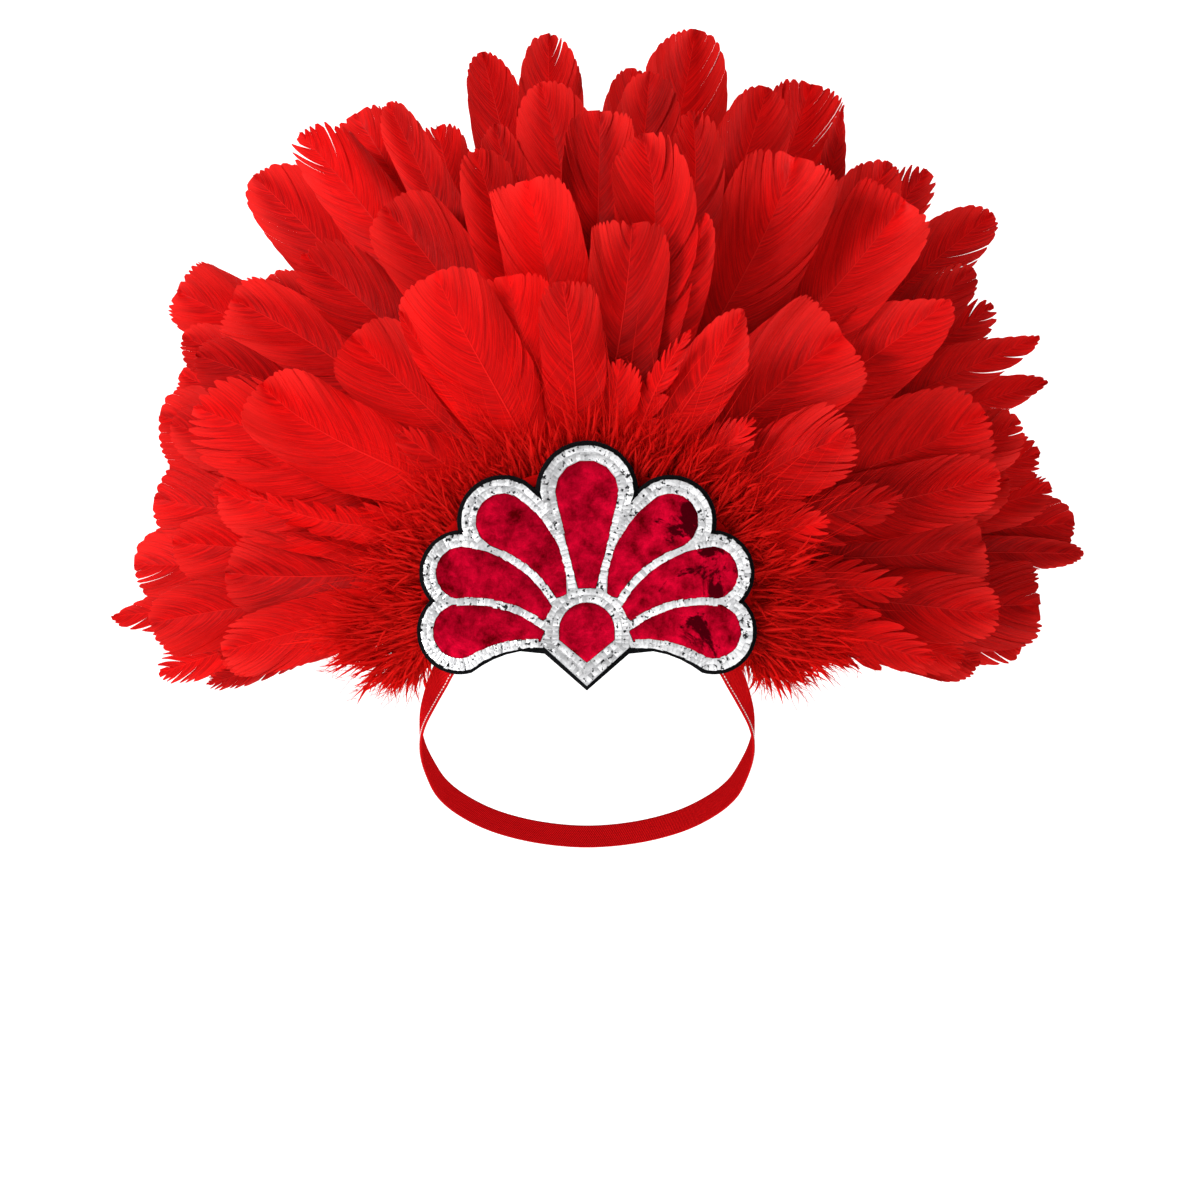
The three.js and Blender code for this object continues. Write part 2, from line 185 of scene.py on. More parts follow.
# closed plates from grids: half the thickness to each side of the grid
def thickPlates(points, thickness):
    plates, rows, columns, _ = points.shape
    normal = gridNormals(points)
    sides = np.stack([points - normal * thickness / 2, points + normal * thickness / 2], 1)
    verts = sides.reshape(-1, 3)
    faces = plateFaces(rows, columns)
    step = 2 * rows * columns
    if signedVolume(verts[:step] - verts[:step].mean(0), faces) < 0:
        faces = faces[:, ::-1]
    return verts, (faces[None] + (np.arange(plates) * step)[:, None, None]).reshape(-1, 4)


# six times the volume inside the faces, positive where they face outward
def signedVolume(verts, faces):
    a, b, c = verts[faces[:, 0]], verts[faces[:, 1]], verts[faces[:, 2]]
    volume = np.einsum("ij,ij->", a, np.cross(b, c))
    if faces.shape[1] == 4:
        volume += np.einsum("ij,ij->", a, np.cross(c, verts[faces[:, 3]]))
    return volume


# many closed skins at once: rings of points with shape (skins, rings, sides, 3), a pole at both ends
def lofts(shells):
    count, rings, sides, _ = shells.shape
    poles = shells[:, [0, -1]].mean(axis=2)
    verts = np.concatenate([shells.reshape(count, -1, 3), poles], 1)
    step = rings * sides + 2
    quads = gridQuads(rings, sides, wrap=True)
    j = np.arange(sides)
    k = (j + 1) % sides
    last = (rings - 1) * sides
    start = np.stack([np.full(sides, rings * sides), k, j], -1)
    end = np.stack([np.full(sides, rings * sides + 1), last + j, last + k], -1)
    tris = np.concatenate([start, end])
    first = verts[0] - verts[0].mean(0)
    if signedVolume(first, quads) + signedVolume(first, tris) < 0:
        quads, tris = quads[:, ::-1], tris[:, ::-1]
    shift = (np.arange(count) * step)[:, None, None]
    return verts.reshape(-1, 3), (quads + shift).reshape(-1, 4), (tris + shift).reshape(-1, 3)


# a direction that no path runs along, to start the rings of tubes from
aslant = np.array([0.13, 0.97, 0.2])


# many closed tubes at once: a ring of sides round each point of each path
def tubes(paths, radii, sides=3, flat=1.0):
    run = unit(np.gradient(paths, axis=1))
    across = unit(np.cross(run, aslant))
    up = np.cross(run, across)
    turn = np.linspace(0.0, 2 * np.pi, sides, endpoint=False)[:, None]
    circle = np.cos(turn) * across[:, :, None] + flat * np.sin(turn) * up[:, :, None]
    return lofts(paths[:, :, None] + radii[:, :, None, None] * circle)


# bar along the arch: a rounded oblong of depth and thickness, swept from one end to the other
def archBar(y, depth, out, thickness, rings=112, sides=16):
    angle = np.linspace(-layout["endAngle"], layout["endAngle"], rings)[:, None]
    turn = (np.arange(sides) + 0.5) * 2 * np.pi / sides
    square = lambda v: np.sign(v) * np.abs(v) ** layout["barRounding"]
    place = archPoint(angle, out + thickness / 2 * square(np.sin(turn)))
    depths = y + bendBack(place[..., 0]) + depth / 2 * square(np.cos(turn))
    shell = np.stack([place[..., 0], depths, place[..., 1]], -1)
    verts, quads, tris = lofts(shell[None])
    length = np.repeat(np.linspace(0.0, layout["barUv"], rings), sides)
    uv = np.concatenate([np.stack([length, np.tile(turn, rings)], -1), np.zeros((2, 2))])
    return {"verts": verts, "quads": quads, "tris": tris, "uv": uv}


# part of a mesh without a pattern of its own, with one value of each attribute for each of its skins
def plainPart(verts, quads, tris=noTris, **attributes):
    spread = {key: np.repeat(values, len(verts) // len(values)) for key, values in attributes.items()}
    uv = np.zeros((len(verts), 2))
    return {"verts": verts, "quads": quads, "tris": tris, "uv": uv, "attributes": spread}


# parts that share one mesh: later ones are numbered after the earlier ones
def joinParts(parts):
    shift = np.cumsum([0] + [len(p["verts"]) for p in parts[:-1]])
    joined = {key: np.concatenate([p[key] for p in parts]) for key in ("verts", "uv")}
    for key in ("quads", "tris"):
        joined[key] = np.concatenate([p[key] + s for p, s in zip(parts, shift)])
    joined["attributes"] = {key: np.concatenate([p["attributes"][key] for p in parts])
                            for key in parts[0]["attributes"]}
    return joined


def finishPiece(piece, material, slot, *replaced):
    piece.data.materials.append(material)
    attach(piece, "root")
    if replaced:
        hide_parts(*replaced)


# Materials

def newMaterial(name):
    material = bpy.data.materials.new(name)
    material.use_nodes = True
    tree = material.node_tree
    return material, tree, tree.nodes["Principled BSDF"]


# shader node with inputs and settings by name
def node(tree, kind, **values):
    made = tree.nodes.new("ShaderNode" + kind)
    for key, value in values.items():
        if key in made.inputs:
            made.inputs[key].default_value = value
        else:
            setattr(made, key, value)
    return made


# links, each as a node, its output, the next node and its input
def wire(tree, *links):
    for source, output, target, entry in links:
        tree.links.new(source.outputs[output], target.inputs[entry])


def mapRange(tree, low, high, toLow=0.0, toHigh=1.0, **settings):
    ends = {"From Min": low, "From Max": high, "To Min": toLow, "To Max": toHigh}
    return node(tree, "MapRange", **ends, **settings)


def ramp(tree, stops):
    made = node(tree, "ValToRGB")
    elements = made.color_ramp.elements
    for place, _ in stops[2:]:
        elements.new(place)
    for element, (place, colour) in zip(elements, stops):
        element.position = place
        element.color = (*colour, 1.0)
    return made


# colour of a surface from one node's output, and its bump from another's
def setColourAndBump(tree, shader, colour, output, height, heightOutput, strength, distance):
    bump = node(tree, "Bump", Strength=strength, Distance=distance)
    wire(tree, (colour, output, shader, "Base Color"), (height, heightOutput, bump, "Height"),
         (bump, "Normal", shader, "Normal"))


def setSurface(shader, roughness, specular=0.5, metallic=0.0):
    shader.inputs["Roughness"].default_value = roughness
    shader.inputs["Specular IOR Level"].default_value = specular
    shader.inputs["Metallic"].default_value = metallic


# share of the light that comes through the surface in the colour of a node's output
def letLightThrough(tree, shader, colour, output, share):
    through = node(tree, "BsdfTranslucent")
    mixed = node(tree, "MixShader", Fac=share)
    wire(tree, (colour, output, through, "Color"), (shader, 0, mixed, 1), (through, 0, mixed, 2),
         (mixed, 0, tree.nodes["Material Output"], "Surface"))


def makeGroup(name, inputs, outputs):
    group = bpy.data.node_groups.new(name, "ShaderNodeTree")
    for key, default in inputs.items():
        socket = group.interface.new_socket(name=key, in_out="INPUT", socket_type="NodeSocketFloat")
        socket.default_value = default
    for key in outputs:
        group.interface.new_socket(name=key, in_out="OUTPUT", socket_type="NodeSocketFloat")
    return group, group.nodes.new("NodeGroupInput"), group.nodes.new("NodeGroupOutput")


def useGroup(tree, group, **values):
    made = node(tree, "Group", node_tree=group)
    for key, value in values.items():
        made.inputs[key].default_value = value
    return made


# streaks along a uv map: noise stretched along the barbs, as a value and a height
def makeStreakGroup():
    inputs = {"Across": 9.0, "Along": 0.7, "Seed": 0.0}
    group, given, result = makeGroup("streaks", inputs, ("Streak", "Height"))
    uv = node(group, "UVMap", uv_map="uv")
    split = node(group, "SeparateXYZ")
    across = node(group, "Math", operation="MULTIPLY")
    along = node(group, "Math", operation="MULTIPLY")
    place = node(group, "CombineXYZ")
    broad = node(group, "TexNoise", Scale=1.0, Detail=3.0, Roughness=0.6)
    fine = node(group, "TexNoise", Scale=3.4, Detail=2.0, Roughness=0.7)
    both = node(group, "Math", operation="ADD")
    wire(group, (uv, "UV", split, 0), (split, "X", across, 0), (given, "Across", across, 1),
         (split, "Y", along, 0), (given, "Along", along, 1), (across, 0, place, "X"), (along, 0, place, "Y"),
         (given, "Seed", place, "Z"), (place, 0, broad, "Vector"), (place, 0, fine, "Vector"),
         (broad, "Fac", both, 0), (fine, "Fac", both, 1), (broad, "Fac", result, "Streak"),
         (both, 0, result, "Height"))
    return group


# fine grain of fibres on Object coordinates, as a value
def makeGrainGroup():
    group, given, result = makeGroup("fibreGrain", {"Scale": 900.0}, ("Grain",))
    place = node(group, "TexCoord")
    noise = node(group, "TexNoise", Detail=4.0, Roughness=0.65)
    wire(group, (place, "Object", noise, "Vector"), (given, "Scale", noise, "Scale"),
         (noise, "Fac", result, "Grain"))
    return group


streakGroup = makeStreakGroup()
grainGroup = makeGrainGroup()

# thin is the pale pinkish red of a painted highlight on the tips and along the vane edges, partly the paler
# thin tip
featherLook = {
    "deep": (0.27, 0.0002, 0.0008), "mid": (0.64, 0.0007, 0.0012), "bright": (0.90, 0.0040, 0.0036),
    "thin": (0.92, 0.022, 0.018), "seedStep": 61.0, "across": 13.0, "along": 0.5, "streak": 0.30,
    "bump": 0.55, "bumpDistance": 0.0006, "roughness": 0.40, "specular": 0.06, "through": 0.28,
}


# dyed vane: red by tone and streak, with light coming through; where the thin attribute rises it turns pale
# pinkish red, partly the paler thin tip and partly a painted highlight on the tips and along the vane edges;
# the quills are a little paler all along
def makeFeatherMaterial():
    look = featherLook
    material, tree, shader = newMaterial("dyedFeather")
    tone = node(tree, "Attribute", attribute_name="tone")
    thin = node(tree, "Attribute", attribute_name="thin")
    seed = node(tree, "Math", operation="MULTIPLY")
    seed.inputs[1].default_value = look["seedStep"]
    streaks = useGroup(tree, streakGroup, Across=look["across"], Along=look["along"])
    stretch = mapRange(tree, 0.32, 0.68, -look["streak"], look["streak"])
    shade = node(tree, "Math", operation="ADD", use_clamp=True)
    colour = ramp(tree, [(0.0, look["deep"]), (1.0, look["bright"]), (0.5, look["mid"])])
    pale = node(tree, "Mix", data_type="RGBA", B=(*look["thin"], 1.0))
    wire(tree, (tone, "Fac", seed, 0), (seed, 0, streaks, "Seed"), (streaks, "Streak", stretch, "Value"),
         (stretch, 0, shade, 0), (tone, "Fac", shade, 1), (shade, 0, colour, "Fac"),
         (thin, "Fac", pale, "Factor"), (colour, "Color", pale, "A"))
    setColourAndBump(tree, shader, pale, "Result", streaks, "Height", look["bump"], look["bumpDistance"])
    setSurface(shader, look["roughness"], look["specular"])
    letLightThrough(tree, shader, pale, "Result", look["through"])
    return material


featherMaterial = makeFeatherMaterial()
print("feather material ready")

# Feather rows

# tip forms: power of the rounding, where it starts, depth of the lobes, share of open splits, and how
# much further one half vane reaches than the other
tipForms = {
    "round": {"power": 2.5, "start": 0.80, "lobe": 0.9, "open": 0.04, "oblique": 0.13},
    "wide": {"power": 3.0, "start": 0.85, "lobe": 0.8, "open": 0.03, "oblique": 0.08},
    "square": {"power": 4.2, "start": 0.88, "lobe": 1.4, "open": 0.06, "oblique": 0.12},
    "pointed": {"power": 1.8, "start": 0.66, "lobe": 0.9, "open": 0.06, "oblique": 0.16},
    "split": {"power": 2.7, "start": 0.80, "lobe": 2.0, "open": 0.14, "oblique": 0.15},
    "ragged": {"power": 2.7, "start": 0.80, "lobe": 2.8, "open": 0.20, "oblique": 0.10},
    "wisp": {"power": 1.8, "start": 0.55, "lobe": 3.0, "open": 0.80, "oblique": 0.10},
}

# each row: depth and lean of its layer, tone of its dye, and its feathers as
# tip angle, reach, width, heading of the tip and, where it isn't round, the form of the tip
featherRows = {
    "feather_row_1": {"y": -13.5, "lean": -16.0, "tone": 0.60, "feathers": [
        (-100, 124, 22, -104, "wisp"), (-90, 108, 24, -92, "wisp"), (-71.9, 156, 14, -55, "wisp"),
        (-68, 108, 24, -76, "wisp"), (-56.5, 171, 34, -44, "wide"), (-48, 112, 22, -50, "wisp"),
        (-33, 150, 12, -28, "pointed"), (-24.8, 156.5, 35, -23, "wide"), (-13.8, 145.5, 30, -10, "square"),
        (-4.6, 139, 24, -12, "split"), (8, 106, 20, 8, "ragged"), (21, 126, 12, 36, "wisp"),
        (28.4, 143.5, 26, 26, "pointed"), (43, 108, 22, 46, "wisp"), (58.2, 138, 30, 72, "ragged"),
        (72, 112, 24, 78, "wisp"), (90, 112, 24, 92, "wisp"), (102, 122, 20, 106, "wisp")]},
    "feather_row_2": {"y": -5.0, "lean": -9.0, "tone": 0.54, "feathers": [
        (-98, 162, 26, -104, "split"), (-85.6, 159, 33, -82), (-74, 168, 30, -78),
        (-63.8, 192, 40, -68, "ragged"), (-41.5, 155, 36, -44, "wide"), (-31, 142, 22, -30),
        (-19, 138, 22, -18), (-8.2, 185, 32, -14, "square"), (6.6, 204, 32, -20, "split"),
        (6.8, 166, 31, 2, "square"), (17, 176, 18, 10, "pointed"), (44, 162, 46, 54, "square"),
        (57, 140, 24, 60, "wisp"), (72, 146, 26, 76, "wisp"), (88, 142, 26, 90, "wisp"),
        (100, 156, 24, 104, "wisp")]},
    "feather_row_3": {"y": 3.5, "lean": -1.5, "tone": 0.53, "feathers": [
        (-98, 164, 22, -102), (-93.1, 193, 28, -102), (-82, 184, 28, -84), (-73.6, 171, 24, -76),
        (-57.9, 203, 26, -72), (-49.8, 205, 28, -65, "square"), (-39.5, 197, 32, -55, "ragged"),
        (-27.5, 194, 34, -46, "wide"), (-14, 203, 26, -18), (1.5, 214, 28, 0, "square"),
        (12, 219, 22, -10, "split"), (25.2, 215, 39, 18, "square"), (38.5, 225, 36, 35, "square"),
        (50.4, 207, 36, 52, "pointed"), (64.8, 194, 40, 57, "split"), (73, 190, 28, 72, "split"),
        (81.7, 177, 33, 75, "square"), (92, 182, 26, 96, "split"), (99, 168, 22, 104, "ragged")]},
    "feather_row_4": {"y": 12.0, "lean": 6.5, "tone": 0.52, "feathers": [
        (-102.5, 172, 10, -105, "ragged"), (-92, 211, 22, -96, "pointed"), (-76.8, 197, 34, -80),
        (-67, 200, 28, -72), (-56.9, 214, 24, -66), (-45, 200, 28, -52), (-31.6, 243, 28, -43, "split"),
        (-21.8, 236, 18, -26), (-11, 213, 20, -14), (-5.2, 228, 33, -17), (6.8, 234, 26, 4),
        (19.4, 240, 30, 16), (34.4, 235, 30, 22.6), (49.4, 225, 24, 47), (59.7, 232, 22, 66, "pointed"),
        (67.5, 207, 28, 56), (74.2, 194, 28, 78), (90.5, 201, 34, 86.5, "square"), (99, 176, 22, 103)]},
    "feather_row_5": {"y": 20.5, "lean": 15.0, "tone": 0.53, "feathers": [
        (-99.8, 193, 18, -110, "ragged"), (-85.6, 202, 34, -90), (-76, 188, 28, -84), (-66.8, 207, 38, -80),
        (-61, 207, 30, -68), (-53, 229, 30, -64, "square"), (-44, 196, 26, -52), (-38.2, 240, 30, -47),
        (-25.5, 240, 27, -33, "square"), (-17.6, 221, 20, -12, "square"), (-10.9, 248, 24, -15),
        (-3.9, 252, 28, 0), (4.9, 237, 24, 5), (10.8, 258, 36, 10), (23.5, 251, 30, 16.5, "square"),
        (27.5, 246, 16, 5, "pointed"), (38.3, 244, 26, 36, "ragged"), (46.4, 250, 26, 51),
        (54.1, 223, 22, 56, "split"), (64.7, 227, 22, 75, "pointed"), (72, 212, 24, 74, "split"),
        (76.5, 213, 22, 72, "split"), (81, 220, 30, 85), (84.7, 222, 14, 92), (96.5, 194, 22, 102)]},
}

vane = {
    "clumps": 18, "across": 3, "along": 8, "thickness": 0.22, "start": 0.06, "turn": 0.66, "rootWidth": 0.40,
    "slant": 1.15, "tipSlant": 0.9, "crown": (-0.05, 0.15), "curl": (-0.07, 0.04), "twist": (-20.0, 20.0),
    "toneSpread": 0.10, "clumpTone": 0.03, "halfShare": (0.92, 1.08), "parted": (0.25, 0.6),
    "closed": (0.0, 0.02), "lift": 0.24, "partedLift": 4.0, "tilt": 0.40, "short": 0.25, "ripple": 1.2,
    "ripples": (11.0, 23.0), "edgeCurl": 2.6, "uvPerMm": 0.1,
    "quillRadius": 0.85, "quillTip": 0.16, "quillEnd": 0.975, "quillRings": 22, "quillSides": 6,
    "quillTone": 0.05, "quillThin": 0.35,
    "stripDepth": 6.4, "stripOut": 1.05, "stripThickness": 1.5, "stripTone": 0.3,
}


# outer edge of a half vane at a place from root to tip: it widens from the quill, then rounds off
def vaneEdge(u, start, power):
    turn, rootWidth = vane["turn"], vane["rootWidth"]
    body = np.clip(u / turn, 0.0, 1.0)
    cap = np.clip((u - turn) / (1.0 - turn), 0.0, 1.0) * np.pi / 2
    s = vane["start"] + (start - vane["start"]) * body
    s = s + (1.0 - start) * np.sin(cap) ** (2.0 / power)
    width = (rootWidth + (1.0 - rootWidth) * smoothStep(0.0, 0.70, body)) * np.cos(cap) ** (2.0 / power)
    return s, np.maximum(width, 0.0)


# both half vanes of a feather as grids of clumps: barbs run from the quill to the edge, slanting
# towards the tip, and each clump may lift, tilt and part from its neighbours
def featherGrids(row, feather, index, rng):
    tipAngle, reach, width, heading = feather[:4]
    form = tipForms[feather[4] if len(feather) > 4 else "round"]
    line, length = middleLine(tipAngle, reach, heading)
    half = width * layout["hiddenWidth"] / 2
    side = -1.0 if index % 2 else 1.0
    crown = rng.uniform(*vane["crown"])
    curl = rng.uniform(*vane["curl"]) * length
    twist = math.radians(rng.uniform(*vane["twist"]))
    tone = row["tone"] + rng.normal(0.0, vane["toneSpread"])
    oblique = form["oblique"] * rng.choice([-1.0, 1.0]) * rng.uniform(0.4, 1.2)
    count = vane["clumps"]
    c = np.linspace(0.0, 1.0, vane["across"] + 1)[None, :, None]
    t = np.linspace(0.0, 1.0, vane["along"] + 1)[None, None, :]
    perClump = lambda values: values[:, None, None]

    # depth of the feather's layer at a place, s of the way from root to tip
    def layer(place, s):
        y = layerDepth(row["y"], row["lean"], place[..., 0], place[..., 1])
        return y + side * layout["stagger"] * s + curl * s**3

    grids = []
    for hand in (-1.0, 1.0):
        share = rng.uniform(*vane["halfShare"])
        sizes = rng.uniform(0.5, 1.5, count) * np.linspace(1.5, 0.6, count)
        borders = np.concatenate([[0.0], np.cumsum(sizes)])
        borders /= borders[-1]
        parts = rng.random(count) < form["open"]
        gap = np.where(parts, rng.uniform(*vane["parted"], count), rng.uniform(*vane["closed"], count))
        lift = rng.normal(0.0, vane["lift"], count) * (1.0 + vane["partedLift"] * parts)
        tilt = rng.normal(0.0, vane["tilt"], count)
        short = np.abs(rng.normal(0.0, vane["short"], count)) * form["lobe"]
        ripplePhase = rng.uniform(0.0, 6.28, 2)
        rippleSize = rng.uniform(0.3, 1.0, 2) * vane["ripple"]
        edgeCurl = rng.normal(0.0, vane["edgeCurl"])

        # place of each barb at the edge (1) and at the quill (0), and how far along it the vane ends
        low, high = perClump(borders[:-1]), perClump(borders[1:])
        middle = (low + high) / 2
        u = middle + (low + (high - low) * c - middle) * (1.0 - perClump(gap) * t**3)
        s1, w1 = vaneEdge(u, form["start"] - 0.03 + hand * oblique, form["power"] - 4.0 * hand * oblique)
        w1 = w1 * half * share
        slant = vane["slant"] + vane["tipSlant"] * smoothStep(0.6, 1.0, s1)
        s0 = np.maximum(s1 - slant * w1 / length, vane["start"] * 0.8 + 0.02 * u)
        barbLength = np.hypot(w1, (s1 - s0) * length) + 1.0
        lobe = form["lobe"] * (0.25 + 0.75 * smoothStep(0.3, 0.9, u))
        end = 1.0 - np.clip((lobe * np.abs(2 * c - 1) ** 3 + perClump(short)) / barbLength, 0.0, 0.5)
        q = t * end
        s = s0 + (s1 - s0) * q**1.25
        lateral = hand * w1 * (1.0 - (1.0 - q) ** 1.35)

        # the same points in space: crowned, twisted, curled at the edge and rippled
        place, run = cubic(line, s)
        spread = np.abs(lateral) / half
        turned = twist * s * s
        depth = layer(place, s) + crown * half * (spread**2 - 1.0) * smoothStep(0.0, 0.4, s)
        depth = depth + lateral * np.sin(turned) + edgeCurl * spread**4
        first, second = (size * np.sin(rate * u + phase)
                         for size, rate, phase in zip(rippleSize, vane["ripples"], ripplePhase))
        depth = depth + q**1.5 * (first + second + perClump(lift) + perClump(tilt) * (c - 0.5))
        flat = place + (lateral * np.cos(turned))[..., None] * rightOf(run)
        points = np.stack([flat[..., 0], depth, flat[..., 1]], -1)
        uv = np.stack(np.broadcast_arrays(u * length, q * barbLength), -1) * vane["uvPerMm"]
        # painted highlight in the thin attribute, partly the paler thin tip: pale towards the tips by a
        # random amount, and a little along every vane edge
        thin = smoothStep(0.72, 1.0, s1) * smoothStep(0.35, 1.0, q) * rng.uniform(0.1, 0.7)
        thin = thin + 0.10 * smoothStep(0.75, 1.0, q)
        tones = np.full(points.shape[:3], tone) + perClump(rng.normal(0.0, vane["clumpTone"], count))
        grid = (points, uv, thin, tones)
        grids.append(grid if hand > 0 else tuple(values[:, ::-1] for values in grid))
    s = np.linspace(0.0, vane["quillEnd"], vane["quillRings"])
    place, _ = cubic(line, s)
    depth = layer(place, s) - crown * half * smoothStep(0.0, 0.4, s)
    return grids, np.stack([place[:, 0], depth, place[:, 1]], -1), tone


# whole row: clumps of all its feathers as thin plates, all quills as tapered tubes, and its strip
def makeFeatherRow(name, row, seed):
    rng = np.random.default_rng(seed)
    made = [featherGrids(row, feather, i, rng) for i, feather in enumerate(row["feathers"])]
    grids = [grid for item in made for grid in item[0]]
    points, uv, thin, tones = (np.concatenate([g[k] for g in grids]) for k in range(4))
    verts, quads = thickPlates(points, vane["thickness"])
    twice = lambda a: np.stack([a, a], 1)
    vanes = {"verts": verts, "quads": quads, "tris": noTris, "uv": twice(uv).reshape(-1, 2),
             "attributes": {"tone": twice(tones).ravel(), "thin": twice(thin).ravel()}}
    way = np.linspace(0, 1, vane["quillRings"]) ** 0.7
    taper = vane["quillRadius"] + (vane["quillTip"] - vane["quillRadius"]) * way
    skins = tubes(np.stack([item[1] for item in made]), np.tile(taper, (len(made), 1)), vane["quillSides"])
    quillTone = np.array([item[2] for item in made]) + vane["quillTone"]
    quills = plainPart(*skins, tone=quillTone, thin=np.full(len(made), vane["quillThin"]))
    strip = archBar(row["y"], vane["stripDepth"], layout["wall"] + vane["stripOut"], vane["stripThickness"])
    plain = np.zeros(len(strip["verts"]))
    strip["attributes"] = {"tone": plain + vane["stripTone"], "thin": plain}
    return addMesh(name + "_vanes", **joinParts([vanes, quills, strip]), sharpAngle=50.0)


for number, (name, row) in enumerate(featherRows.items()):
    finishPiece(makeFeatherRow(name, row, 40 + number), featherMaterial, "red_feather", name)
    print(name, "made:", len(row["feathers"]), "feathers")

# Down ruff

ruff = {
    "seed": 71, "plumes": 230, "y": (-22.6, -16.0), "lean": -20.0, "rootOut": 4.0, "reach": (88.0, 106.0),
    "reachEnd": 97.0, "past": 3.0, "length": (0.45, 1.15), "angleSpread": 1.6, "headingSpread": 9.0,
    "bendSpread": 0.12, "liftSpread": 0.10, "tone": (0.5, 0.1), "shaftRings": 9, "shaft": 0.22, "sides": 3,
    "barbs": 8, "barbPlaces": (0.12, 0.98), "barbPlaceSpread": 0.02, "barbLength": (8.0, 17.0),
    "barbSpread": (10.0, 36.0), "barbCurl": 0.14, "barbRaise": (-0.12, 0.3), "barb": 0.16, "rings": 4,
}
fringe = {
    "plumes": 75, "angle": 94.0, "end": 121.0, "longFrom": 90.0, "start": 103.0, "droop": 2.0, "reach": 129.0,
    "shorterPerDegree": 2.2, "hemX": 76.0, "hemZ": -94.5, "hemSlope": 0.31, "hemSpread": (0.82, 1.04),
}
locks = {
    "count": 8, "fromRoot": 3, "start": 0.72, "rootStart": 0.08, "length": (0.28, 0.60), "end": (0.85, 1.06),
    "width": (0.5, 1.3), "body": (0.55, 1.0, 0.85, 0.5, 0.08), "flat": 0.16, "aside": 1.5, "tipAside": 3.2,
    "depth": 0.8, "tipDepth": (-0.8, 2.0), "tone": (0.02, 0.10),
}
wisps = {
    "seed": 97, "count": 150, "end": 98.0, "rootOut": 6.0, "length": (38.0, 74.0), "radius": 0.19,
    "bend": 0.22, "lean": -15.0, "rings": 9, "headingSpread": 12.0, "depth": (0.0, 4.0), "liftSpread": 0.05,
    "tone": (0.9, 0.15),
}
ruffStrip = {"y": -20.8, "depth": 4.4, "out": layout["wall"] + 2.8, "thickness": 5.0}
towardsViewer = np.array([0.0, -1.0, 0.0])


# loose hairs that run out of the ruff and lie over the feet of the front feathers
def makeWisps():
    rng = np.random.default_rng(wisps["seed"])
    count = wisps["count"]
    angle = rng.uniform(-wisps["end"], wisps["end"], count)
    ahead = headingOf(np.radians(angle + rng.normal(0.0, wisps["headingSpread"], count)))[:, None]
    root = archPoint(angle, wisps["rootOut"])[:, None]
    length = rng.uniform(*wisps["length"], count)[:, None]
    bend = rng.normal(0.0, wisps["bend"], count)[:, None]
    s = np.linspace(0.0, 1.0, wisps["rings"])
    flat = root + (length * s)[..., None] * ahead + (length * bend * s * s)[..., None] * rightOf(ahead)
    y = layerDepth(ruff["y"][0], wisps["lean"], flat[..., 0], flat[..., 1])
    y = y + rng.uniform(*wisps["depth"], (count, 1))
    y = y + rng.normal(0.0, wisps["liftSpread"], (count, 1)) * length * s
    paths = np.stack([flat[..., 0], y, flat[..., 1]], -1)
    skins = tubes(paths, np.tile(wisps["radius"] * (1.0 - 0.7 * s), (count, 1)), ruff["sides"])
    return plainPart(*skins, tone=rng.normal(*wisps["tone"], count))


